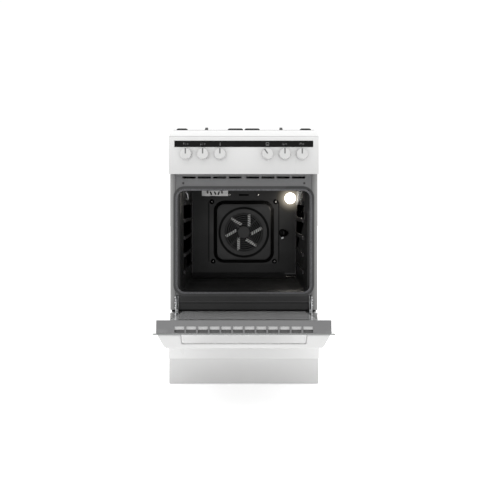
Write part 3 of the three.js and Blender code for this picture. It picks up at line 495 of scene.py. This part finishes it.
GREY_STEEL = ((0.5, 0.5, 0.5), (0.66, 0.66, 0.66))
CAST_ALUMINIUM = ((0.50, 0.50, 0.51), (0.68, 0.68, 0.69))
RAIL_ALUMINIUM = ((0.52, 0.52, 0.53), (0.66, 0.66, 0.67))
BRASS = ((0.52, 0.37, 0.15), (0.68, 0.52, 0.24))
STRIP = ((0.003, 0.003, 0.003), (0.006, 0.006, 0.006))
BLACK_PLASTIC = ((0.016, 0.016, 0.016), (0.028, 0.028, 0.028))
KNOB_WHITE = ((0.56, 0.56, 0.555), (0.58, 0.58, 0.575))
MARK_GREY = ((0.12, 0.12, 0.122), (0.16, 0.16, 0.162))
# a pale grey that paints light on the door's vent louvres
VENT_PAINTED_LIGHT_GREY = ((0.40, 0.40, 0.40), (0.46, 0.46, 0.46))
BAFFLE_GREY = ((0.13, 0.13, 0.13), (0.16, 0.16, 0.16))

LOOKS = {
    # the two tones of each white look, top then foot, paint shade darker towards the foot
    "white_hob": white_enamel("hob_plate", 0.81, 0.77),
    "white_panel": white_enamel("control_panel", 0.68, 0.58),
    "white_drawer": white_enamel("drawer_front", 0.79, 0.77),
    "white_plinth": white_enamel("plinth", 0.66, 0.54),
    "white_handle": white_enamel("door_handle", 0.64, 0.62),
    "side_enamel": side_enamel(),
    "door_enamel": door_enamel(),
    "vent_painted_light_grey": enamel("vent_painted_light_grey", *VENT_PAINTED_LIGHT_GREY, 0.4).material,
    "baffle_grey": enamel("baffle_grey", *BAFFLE_GREY, 0.5).material,
    "cover_enamel": cover_enamel(),
    "gap_black": gap_black(),
    "door_white_glass": door_white_glass(),
    "grey_enamel": grey_enamel(),
    "black_enamel": black_enamel(),
    "cavity_enamel": cavity_enamel(),
    "pan_support_enamel": pan_support_enamel(),
    "burner_cap_enamel": burner_cap_enamel(),
    "burner_aluminium": metal("burner_aluminium", *CAST_ALUMINIUM, 0.42).material,
    "inner_glass": inner_glass(),
    "strip_black": plastic("strip_black", *STRIP, 0.3, depth=0.004 * MM, Specular_IOR_Level=0.1),
    "knob_white": plastic("knob_white", *KNOB_WHITE, 0.5),
    "zinc_sheet": zinc_sheet(),
    "bright_zinc": bright_zinc(),
    "spindle_steel": metal("spindle_steel", *GREY_STEEL, 0.25, stretch=(1, 0.1, 1)).material,
    "heater_steel": heater_steel(),
    "fan_aluminium": fan_aluminium(),
    "rail_aluminium": metal("rail_aluminium", *RAIL_ALUMINIUM, 0.35).material,
    "tap_brass": metal("tap_brass", *BRASS, 0.32).material,
    "black_plastic": plastic("black_plastic", *BLACK_PLASTIC, 0.5),
    "gasket": gasket(),
    "mineral_wool": mineral_wool(),
    "lamp_glass": lamp_glass(),
    "print_grey": print_grey(),
    "mark_grey": plastic("mark_grey", *MARK_GREY, 0.45),
    "ceramic": ceramic(),
}


# ---- CAD nodes: finish and softened edges ------------------------------------------------------
def crease_group():
    """Smooth shading with every edge sharper than 38 degrees kept crisp."""
    group = bpy.data.node_groups.new("crease", "GeometryNodeTree")
    for way in ("INPUT", "OUTPUT"):
        group.interface.new_socket("Geometry", in_out=way, socket_type="NodeSocketGeometry")
    kinds = {
        "start": "NodeGroupInput",
        "end": "NodeGroupOutput",
        "smooth": "GeometryNodeSetShadeSmooth",
        "sharp": "GeometryNodeSetShadeSmooth",
        "angle": "GeometryNodeInputMeshEdgeAngle",
        "test": "FunctionNodeCompare",
        "clear": "GeometryNodeRemoveAttribute",
    }
    n = {key: group.nodes.new(kind) for key, kind in kinds.items()}
    n["clear"].inputs["Name"].default_value = "custom_normal"
    n["sharp"].domain = "EDGE"
    n["test"].operation = "LESS_THAN"
    n["test"].inputs["B"].default_value = math.radians(38)
    link = group.links.new
    link(n["start"].outputs[0], n["clear"].inputs["Geometry"])
    link(n["clear"].outputs[0], n["smooth"].inputs["Geometry"])
    link(n["smooth"].outputs[0], n["sharp"].inputs["Geometry"])
    link(n["angle"].outputs["Unsigned Angle"], n["test"].inputs["A"])
    link(n["test"].outputs[0], n["sharp"].inputs["Shade Smooth"])
    link(n["sharp"].outputs[0], n["end"].inputs[0])
    return group


CREASE = crease_group()
PIERCED = {"door_frame", "fan_cover", "front_frame"}  # faces with rows of holes stay in triangles


def soften(obj, width=0.0):
    """Welds the mesh, rounds its edges by width and keeps flat faces flat in the shading."""
    weld = obj.modifiers.new("weld", "WELD")
    weld.merge_threshold = 0.002 * MM
    if width:
        if obj.name not in PIERCED:
            flat = obj.modifiers.new("flat", "DECIMATE")
            flat.decimate_type = "DISSOLVE"
            flat.angle_limit = math.radians(0.5)
        bevel = obj.modifiers.new("bevel", "BEVEL")
        bevel.width = width
        bevel.segments = 2
        bevel.limit_method = "ANGLE"
        bevel.angle_limit = math.radians(40)
        bevel.miter_outer = "MITER_ARC"
    crease = obj.modifiers.new("crease", "NODES")
    crease.node_group = CREASE
    weighted = obj.modifiers.new("weighted", "WEIGHTED_NORMAL")
    weighted.mode = "FACE_AREA_WITH_ANGLE"
    weighted.keep_sharp = True


BEVELS = {  # millimetres
    "hob_plate": 2.4,
    "control_panel": 2.2,
    "drawer_front": 3.0,
    "plinth": 1.2,
    "side_panel_left": 0.5,
    "side_panel_right": 0.5,
    "door_handle": 2.6,
    "door_outer_panel": 1.4,
    "door_inner_glass": 0.6,
    "door_frame": 0.3,
    "front_frame": 0.3,
    "panel_strip": 0.4,
    "oven_cavity": 0.4,
    "oven_seal": 0.7,
    "fan_cover": 0.3,
    "lamp_cover": 0.8,
    "terminal_box": 1.5,
    "fan_motor": 1.5,
}
SMALL = ("knob", "burner", "foot", "gas_tap", "hinge")
BEVELS.update({node: 0.9 for node in NODES if node.startswith("pan_support")})
BEVELS.update({node: 0.6 for node in NODES if node.startswith(SMALL)})
OWN_LOOKS = {
    "oven_cavity": "cavity_enamel",
    "side_panel_left": "side_enamel",
    "side_panel_right": "side_enamel",
    "hob_plate": "white_hob",
    "control_panel": "white_panel",
    "drawer_front": "white_drawer",
    "plinth": "white_plinth",
    "door_handle": "white_handle",
    "door_frame": "door_enamel",
    "fan_cover": "cover_enamel",
}


def finish_nodes():
    """Each node wears the look of its slot, unless it has one of its own."""
    slots = {row["node"]: row["material_slot"] for row in frame["record"]["subparts"]}
    slots.update(OWN_LOOKS)
    for name, obj in NODES.items():
        obj.data.materials.clear()
        obj.data.materials.append(LOOKS[slots[name]])
        soften(obj, BEVELS.get(name, 0.0) * MM)


# ---- Small pieces: building blocks -------------------------------------------------------------
def upright(x, y, z, turn=0.0):
    """A place for a piece drawn with its own Z pointing up."""
    return Matrix.Translation((x, y, z)) @ Matrix.Rotation(turn, 4, "Z")


def facing_front(x, y, z, turn=0.0):
    """A place for a piece drawn with its own Z pointing out of the cooker's front."""
    tip = Matrix.Rotation(math.pi / 2, 4, "X")
    return Matrix.Translation((x, y, z)) @ tip @ Matrix.Rotation(turn, 4, "Z")


def facing_back(x, y, z):
    return Matrix.Translation((x, y, z)) @ Matrix.Rotation(-math.pi / 2, 4, "X")


def lathe(mesh, profile, place, sides=20):
    """Turns (radius, height) pairs about the place's Z. A zero radius closes to a point."""
    rings = []
    for radius, height in profile:
        count = sides if radius else 1
        angles = [2 * math.pi * k / sides for k in range(count)]
        points = [Vector((radius * math.cos(a), radius * math.sin(a), height)) for a in angles]
        rings.append([mesh.verts.new(place @ point) for point in points])
    for low, high in zip(rings, rings[1:]):
        for k in range(sides):
            after = k + 1
            under = [low[k % len(low)], low[after % len(low)]]
            over = [high[after % len(high)], high[k % len(high)]]
            corners = list(dict.fromkeys(under + over))
            if len(corners) > 2:
                mesh.faces.new(corners)


def prism(mesh, outline, low, high, place):
    """An outline on the place's X and Y, raised from low to high."""
    bottom = [mesh.verts.new(place @ Vector((x, y, low))) for x, y in outline]
    top = [mesh.verts.new(place @ Vector((x, y, high))) for x, y in outline]
    mesh.faces.new(bottom[::-1])
    mesh.faces.new(top)
    for k in range(len(outline)):
        after = (k + 1) % len(outline)
        mesh.faces.new([bottom[k], bottom[after], top[after], top[k]])


def bar(half_x, half_y, x=0.0, y=0.0):
    """The outline of a bar round (x, y)."""
    corners = ((-1, -1), (1, -1), (1, 1), (-1, 1))
    return [(x + side * half_x, y + end * half_y) for side, end in corners]


def rounded(half_x, half_y, radius, steps=4):
    """The outline of a bar with rounded corners."""
    outline = []
    for sx, sy, start in ((1, -1, -90), (1, 1, 0), (-1, 1, 90), (-1, -1, 180)):
        for k in range(steps + 1):
            angle = math.radians(start + 90 * k / steps)
            x = sx * (half_x - radius) + radius * math.cos(angle)
            y = sy * (half_y - radius) + radius * math.sin(angle)
            outline.append((x, y))
    return outline


def ring(mesh, radius, width, thickness, place, sides=20):
    outer = radius + width
    profile = [(radius, 0), (outer, 0), (outer, thickness), (radius, thickness), (radius, 0)]
    lathe(mesh, profile, place, sides)


def piece(name, draw, look, body, edge=0.0):
    """A new piece from a function that draws into an empty mesh."""
    mesh = bmesh.new()
    draw(mesh)
    bmesh.ops.remove_doubles(mesh, verts=mesh.verts, dist=1e-7)
    bmesh.ops.recalc_face_normals(mesh, faces=mesh.faces)
    data = bpy.data.meshes.new(name)
    mesh.to_mesh(data)
    mesh.free()
    data.materials.append(LOOKS[look])
    obj = bpy.data.objects.new(name, data)
    bpy.context.scene.collection.objects.link(obj)
    soften(obj, edge)
    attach(obj, body)
    return obj


def wire(name, points, radius, look, body):
    """A round wire through the points, smoothly bent."""
    curve = bpy.data.curves.new(name, "CURVE")
    curve.dimensions = "3D"
    curve.bevel_depth = radius
    curve.bevel_resolution = 3
    curve.use_fill_caps = True
    curve.resolution_u = 6
    spline = curve.splines.new("NURBS")
    spline.points.add(len(points) - 1)
    for point, place in zip(spline.points, points):
        point.co = (*place, 1.0)
    spline.use_endpoint_u = True
    spline.order_u = 4
    curve.materials.append(LOOKS[look])
    obj = bpy.data.objects.new(name, curve)
    bpy.context.scene.collection.objects.link(obj)
    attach(obj, body)
    return obj


# ---- Control panel -----------------------------------------------------------------------------
INK = 0.12 * MM  # how far the print stands off the strip


def spot(mesh, place, x, y, radius):
    profile = [(0, 0), (radius, 0), (radius, INK), (0, INK)]
    lathe(mesh, profile, place @ upright(x, y, 0), 14)


def gas_icon(mesh, place, chosen):
    """Four burner dots in a square, the chosen one drawn large, beside a flame ring."""
    for k, (x, y) in enumerate(((-1, -1), (-1, 1), (1, 1), (1, -1))):
        radius = 1.8 * MM if k == chosen else 0.9 * MM
        spot(mesh, place, (x * 2.6 - 4.8) * MM, y * 2.3 * MM, radius)
    ring(mesh, 1.7 * MM, 0.8 * MM, INK, place @ upright(5.2 * MM, 0, 0), 14)


def heat_icon(mesh, place):
    """A small thermometer."""
    prism(mesh, bar(0.8 * MM, 3.4 * MM, 0, 1.2 * MM), 0, INK, place)
    spot(mesh, place, 0, -3.2 * MM, 1.8 * MM)


def oven_icon(mesh, place):
    """A square oven with a bar along its bottom."""
    half = 4.6 * MM
    line = 0.7 * MM
    for side in (-1, 1):
        prism(mesh, bar(line, half, side * half, 0), 0, INK, place)
        prism(mesh, bar(half - line, line, 0, side * half), 0, INK, place)
    prism(mesh, bar(half - 2.0 * MM, line, 0, -half + 3.0 * MM), 0, INK, place)


def panel_icons():
    low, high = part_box("panel_strip")
    level = (low.z + high.z) / 2 - 0.4 * MM

    def draw(mesh):
        for chosen, name in enumerate(("front_left", "rear_left", "rear_right", "front_right")):
            gas_icon(mesh, facing_front(centre(f"knob_{name}").x, low.y, level), chosen)
        heat_icon(mesh, facing_front(centre("knob_thermostat").x, low.y, level))
        oven_icon(mesh, facing_front(centre("knob_function").x, low.y, level))

    piece("panel_icons", draw, "print_grey", "cooker_body")


def knob_marks():
    """A grey inlay in each knob's sunk pointer line."""
    for name in sorted(node for node in NODES if node.startswith("knob_")):
        x = centre(name).x
        turn = 0.0
        if name == "knob_function":
            x = -centre("knob_thermostat").x
            turn = FUNCTION_TURN
        place = facing_front(x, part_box(name)[0].y + 0.8 * MM, KNOB_Z, turn)

        def draw(mesh):
            prism(mesh, bar(2.15 * MM, 8.8 * MM, 0, 8.9 * MM), 0, 0.6 * MM, place)

        piece(f"mark_{name}", draw, "mark_grey", name)


# ---- Screws ------------------------------------------------------------------------------------
def screw(mesh, place, radius=3.6 * MM, height=1.6 * MM):
    """A pan-head screw."""
    side = [(radius, 0), (radius, height * 0.35)]
    crown = [(radius * 0.85, height * 0.75), (radius * 0.5, height * 0.97)]
    lathe(mesh, [(0, 0), *side, *crown, (0, height)], place, 16)


def recess(mesh, place, radius=3.6 * MM, height=1.6 * MM):
    """The crossed slot in a screw's head, drawn as a black insert that paints the shade of the recess."""
    long, narrow = radius * 0.58, radius * 0.14
    prism(mesh, bar(long, narrow), height * 0.6, height * 1.01, place)
    prism(mesh, bar(narrow, long), height * 0.6, height * 1.008, place)


def screws(name, places, look, body="cooker_body", radius=3.6 * MM, height=1.6 * MM):
    def heads(mesh):
        for place in places:
            screw(mesh, place, radius, height)

    def slots(mesh):
        for place in places:
            recess(mesh, place, radius, height)

    piece(f"{name}_heads", heads, look, body)
    # painted shade: black inserts stand in for the dark of the cross recesses
    piece(f"{name}_recesses", slots, "black_plastic", body)


def all_screws():
    frame_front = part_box("front_frame")[0].y
    places = [facing_front(side * 206 * MM, frame_front, 674 * MM, 0.4 * side) for side in (-1, 1)]
    screws("frame_screw", places, "burner_cap_enamel", radius=3.8 * MM)
    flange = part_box("fan_cover")[1].y - 1.8 * MM
    places = [
        facing_front(side * x * MM, flange, z * MM, side + z)
        for side in (-1, 1)
        for x, z in ((122, 373), (127, 610))
    ]
    screws("cover_screw", places, "bright_zinc", radius=3.0 * MM, height=3.0 * MM)

    # painted shade: near-black rings round the cover's screws stand in for the dark of their holes
    def hole_shade_rings(mesh):
        for place in places:
            ring(mesh, 3.2 * MM, 6.3 * MM, 1.1 * MM, place, 24)

    piece("cover_hole_shade", hole_shade_rings, "gap_black", "cooker_body")
    places = [facing_front(side * 57 * MM, BACK_WALL, 638 * MM, side) for side in (-1, 1)]
    screws("wall_screw", places, "bright_zinc", radius=3.6 * MM, height=2.4 * MM)
    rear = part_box("rear_cover")[1].y
    heights = (60, 240, 420, 600, 800)
    places = [facing_back(side * 222 * MM, rear, z * MM) for side in (-1, 1) for z in heights]
    screws("rear_screw", places, "zinc_sheet", height=1.2 * MM)


# ---- Oven --------------------------------------------------------------------------------------
def wall_slot():
    """A thin near-black patch high in the back wall: painted shade of a pressed slot."""
    place = facing_front(0, BACK_WALL, 637 * MM)

    def draw(mesh):
        prism(mesh, rounded(20 * MM, 3.2 * MM, 3.0 * MM), 0, 0.4 * MM, place)

    piece("wall_slot", draw, "gap_black", "cooker_body")


def element_terminals():
    """The grill's dark rod ends where they pass through the bright plate."""
    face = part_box("grill_element")[1].y - 2.2 * MM

    def rods(mesh):
        for x, lean in ((-131, 0.35), (-114, 0.35), (-100, -0.3)):
            place = facing_front(x * MM, face, 644 * MM, lean)
            prism(mesh, rounded(2.6 * MM, 7.5 * MM, 2.4 * MM), 0, 2.4 * MM, place)

    def eyes(mesh):
        for x in (-159, -71):
            ring(mesh, 2.0 * MM, 1.6 * MM, 0.8 * MM, facing_front(x * MM, face, 644 * MM), 14)

    piece("grill_rod_ends", rods, "gap_black", "cooker_body", 0.5 * MM)
    piece("grill_plate_eyes", eyes, "zinc_sheet", "cooker_body")


def temperature_sensor():
    """A thin dark tube, coiled beside the fan cover and clipped to the back wall."""
    points = []
    for k in range(34):
        angle = math.radians(-60 + 36 * k)
        spread = 13.5 - 0.12 * k
        x = 151 + spread * math.cos(angle) + 0.42 * k
        z = 486 + spread * 1.15 * math.sin(angle)
        points.append((x * MM, BACK_WALL - (3 + 0.45 * k) * MM, z * MM))
    points.append((176 * MM, BACK_WALL - 12 * MM, 484 * MM))
    points.append((178 * MM, BACK_WALL - 4 * MM, 484 * MM))
    wire("sensor_tube", points, 1.7 * MM, "gap_black", "cooker_body")

    def clip(mesh):
        place = facing_front(154 * MM, BACK_WALL, 466 * MM, 0.5)
        prism(mesh, rounded(5 * MM, 3 * MM, 1 * MM), 0, 4 * MM, place)

    piece("sensor_clip", clip, "zinc_sheet", "cooker_body", 0.6 * MM)


def shelf_runner_wires():
    """Five bent wires at each side. Set from the ring's width, they stand outside the walls."""
    edge = OVEN[1].x - SHEET
    steel = "spindle_steel"
    start, end = MOUTH + 62 * MM, MOUTH + 370 * MM
    for name, side in SIDES.items():
        foot = side * edge - side * 1 * MM
        x = side * (edge - 4.6 * MM)
        for row in range(5):
            z = (365 + 60 * row - 9) * MM
            points = [(foot, start, z), (x, start + 6 * MM, z), (x, start + 14 * MM, z)]
            points += [(x, start + (end - start) * k / 6, z) for k in range(1, 6)]
            points += [(x, end - 14 * MM, z), (x, end - 6 * MM, z), (foot, end, z)]
            wire(f"runner_{name}_{row}", points, 1.5 * MM, steel, "cooker_body")


def rack_hooks():
    """The wire hook that each side rack hangs from."""
    bends = ((0, 0, 646), (7, 1, 640), (8, 4, 628), (8, 9, 618), (5, 13, 616), (0, 14, 622))
    for name, side in SIDES.items():
        wall = side * SIDE_WALL
        points = []
        for out, along, z in bends:
            points.append((wall - side * out * MM, MOUTH + (134 + along) * MM, z * MM))
        wire(f"rack_hook_{name}", points, 1.5 * MM, "bright_zinc", "cooker_body")


# ---- Hinges ------------------------------------------------------------------------------------
def hinge_details():
    """Domed bosses beside each hinge on the cooker's front, and rivets on the door."""
    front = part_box("front_frame")[0].y - 0.2 * MM
    boss = [(0, 0), (2.3 * MM, 0), (2.0 * MM, 0.9 * MM), (1.1 * MM, 1.5 * MM), (0, 1.7 * MM)]
    rivet = [(0, 0), (2.4 * MM, 0), (2.0 * MM, 0.8 * MM), (1.1 * MM, 1.2 * MM), (0, 1.4 * MM)]
    for name, side in SIDES.items():
        x = side * 232.4 * MM

        def bosses(mesh):
            for k, z in enumerate(range(250, 287, 9)):
                shift = 1.0 * MM if k % 2 else -1.0 * MM
                lathe(mesh, boss, facing_front(x + shift, front, z * MM), 14)

        def rivets(mesh):
            for z in (72, 90, 128, 156):
                place = ON_DOOR @ facing_back(side * 235.2 * MM, 0.02 * MM, z * MM)
                lathe(mesh, rivet, place, 14)

        piece(f"hinge_bosses_{name}", bosses, "bright_zinc", "cooker_body")
        piece(f"hinge_rivets_{name}", rivets, "bright_zinc", "oven_door")


def vent_louvres():
    """A pressed louvre behind each vent in the door's end, coloured pale grey as painted light, and a darker
    baffle under it.
    """
    across = Matrix.Rotation(math.pi / 2, 4, "Y") @ Matrix.Rotation(math.pi / 2, 4, "Z")
    end = 459  # the door's end, mm from its hinge
    louvre = [(-16.6, -2.2), (-25.6, -3.4), (-25.6, -4.4), (-16.6, -3.2)]
    baffle = [(-25.6, -3.6), (-26.4, -10), (-34.8, -9), (-34.8, -10), (-25.6, -11)]
    rows = (("vent_louvres", louvre, "vent_painted_light_grey"), ("vent_baffles", baffle, "baffle_grey"))
    for name, outline, look in rows:
        points = [(y * MM, (end + z) * MM) for y, z in outline]

        def draw(mesh):
            for vent in range(12):
                x = (vent - 5.5) * 32 * MM
                prism(mesh, points, x - 14.5 * MM, x + 14.5 * MM, ON_DOOR @ across)

        piece(name, draw, look, "oven_door")


# ---- Hob ---------------------------------------------------------------------------------------
def burner_details():
    """Teeth that part the flame ports, and an igniter and a flame sensor beside each burner."""
    pin = [(0, 0), (2.3 * MM, 0), (2.3 * MM, 8 * MM), (1.5 * MM, 9 * MM), (0, 9 * MM)]
    tip = [(0, 0), (0.7 * MM, 0), (0.7 * MM, 4.6 * MM), (0, 5.2 * MM)]
    aluminium = "burner_aluminium"
    for name, radius in BURNERS.items():
        low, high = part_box(f"burner_cup_{name}")
        x, y = (low.x + high.x) / 2, (low.y + high.y) / 2
        top = high.z
        beside = Matrix.Translation(((radius + 7.5) * MM, 0, 0))

        def teeth(mesh):
            tooth = bar(0.9 * MM, 1.3 * MM, (radius - 3) * MM + 0.5 * MM, 0)
            for k in range(radius):
                place = upright(x, y, 0, 2 * math.pi * k / radius)
                prism(mesh, tooth, top - 5.2 * MM, top - 0.1 * MM, place)

        def pins(mesh):
            for turn in PIN_TURNS:
                place = upright(x, y, top - 11.4 * MM, turn) @ beside
                lathe(mesh, pin, place, 14)

        def tips(mesh):
            for turn in PIN_TURNS:
                place = upright(x, y, top - 2.6 * MM, turn) @ beside
                lathe(mesh, tip, place, 10)

        piece(f"burner_teeth_{name}", teeth, aluminium, "cooker_body", 0.2 * MM)
        piece(f"igniter_{name}", pins, "ceramic", "cooker_body")
        piece(f"igniter_tip_{name}", tips, "spindle_steel", "cooker_body")


# ---- Back --------------------------------------------------------------------------------------
def rear_details():
    """Pressed stiffening ribs and a blank data plate on the rear cover."""
    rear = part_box("rear_cover")[1].y

    def ribs(mesh):
        rib = rounded(170 * MM, 5 * MM, 4.9 * MM, 6)
        for z in (130, 180, 330):
            prism(mesh, rib, 0, 1.2 * MM, facing_back(0, rear, z * MM))

    def plate(mesh):
        place = facing_back(150 * MM, rear, 600 * MM)
        prism(mesh, rounded(34 * MM, 18 * MM, 2 * MM), 0, 0.35 * MM, place)

    piece("rear_ribs", ribs, "zinc_sheet", "cooker_body", 0.5 * MM)
    piece("blank_plate", plate, "rail_aluminium", "cooker_body")


# ---- Light, floor and camera -------------------------------------------------------------------
def area_light(name, place, aim, size, energy):
    data = bpy.data.lights.new(name, "AREA")
    data.shape = "RECTANGLE"
    data.size, data.size_y = size
    data.energy = energy
    light = bpy.data.objects.new(name, data)
    light.location = place
    light.rotation_euler = (Vector(aim) - Vector(place)).to_track_quat("-Z", "Y").to_euler()
    bpy.context.scene.collection.objects.link(light)


def oven_lamp_light():
    """A warm light a little ahead of the lamp's glass."""
    middle = centre("lamp_cover")
    data = bpy.data.lights.new("oven_lamp", "POINT")
    data.energy = 0.3
    data.color = (1.0, 0.95, 0.87)
    data.shadow_soft_size = 10 * MM
    light = bpy.data.objects.new("oven_lamp", data)
    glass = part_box("lamp_cover")[0].y
    light.location = (middle.x - 26 * MM, glass - 30 * MM, middle.z - 22 * MM)
    light.visible_glossy = False
    bpy.context.scene.collection.objects.link(light)
    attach(light, "cooker_body")


def studio():
    world = bpy.data.worlds.new("studio")
    world.use_nodes = True
    background = world.node_tree.nodes["Background"]
    background.inputs["Color"].default_value = (1, 1, 1, 1)
    background.inputs["Strength"].default_value = 1.03
    bpy.context.scene.world = world
    area_light("key", (-1.4, -2.6, 3.0), (0, 0.1, 0.5), (2.2, 1.6), 6.0)
    area_light("top", (0.3, 0.2, 3.2), (0, 0.2, 0.8), (2.4, 2.4), 8.0)

    mesh = bmesh.new()
    bmesh.ops.create_grid(mesh, x_segments=8, y_segments=8, size=14.0)
    data = bpy.data.meshes.new("floor")
    mesh.to_mesh(data)
    mesh.free()
    data.materials.append(floor_look())
    floor = bpy.data.objects.new("floor", data)
    bpy.context.scene.collection.objects.link(floor)


def camera():
    """Level, straight in front, a little over half a metre up."""
    data = bpy.data.cameras.new("camera")
    data.lens = 50.0
    data.sensor_width = 36.0
    data.shift_x = 0.0124
    data.shift_y = -0.10
    data.clip_end = 60.0
    obj = bpy.data.objects.new("camera", data)
    panel_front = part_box("control_panel")[0].y
    obj.location = (0.0, panel_front - 2.319, 0.617)
    obj.rotation_euler = (math.pi / 2, 0.0, 0.0)
    bpy.context.scene.collection.objects.link(obj)
    bpy.context.scene.camera = obj


finish_nodes()
panel_icons()
knob_marks()
all_screws()
wall_slot()
element_terminals()
temperature_sensor()
shelf_runner_wires()
rack_hooks()
hinge_details()
vent_louvres()
burner_details()
rear_details()
oven_lamp_light()
studio()
camera()
bpy.context.scene.view_settings.view_transform = "Standard"
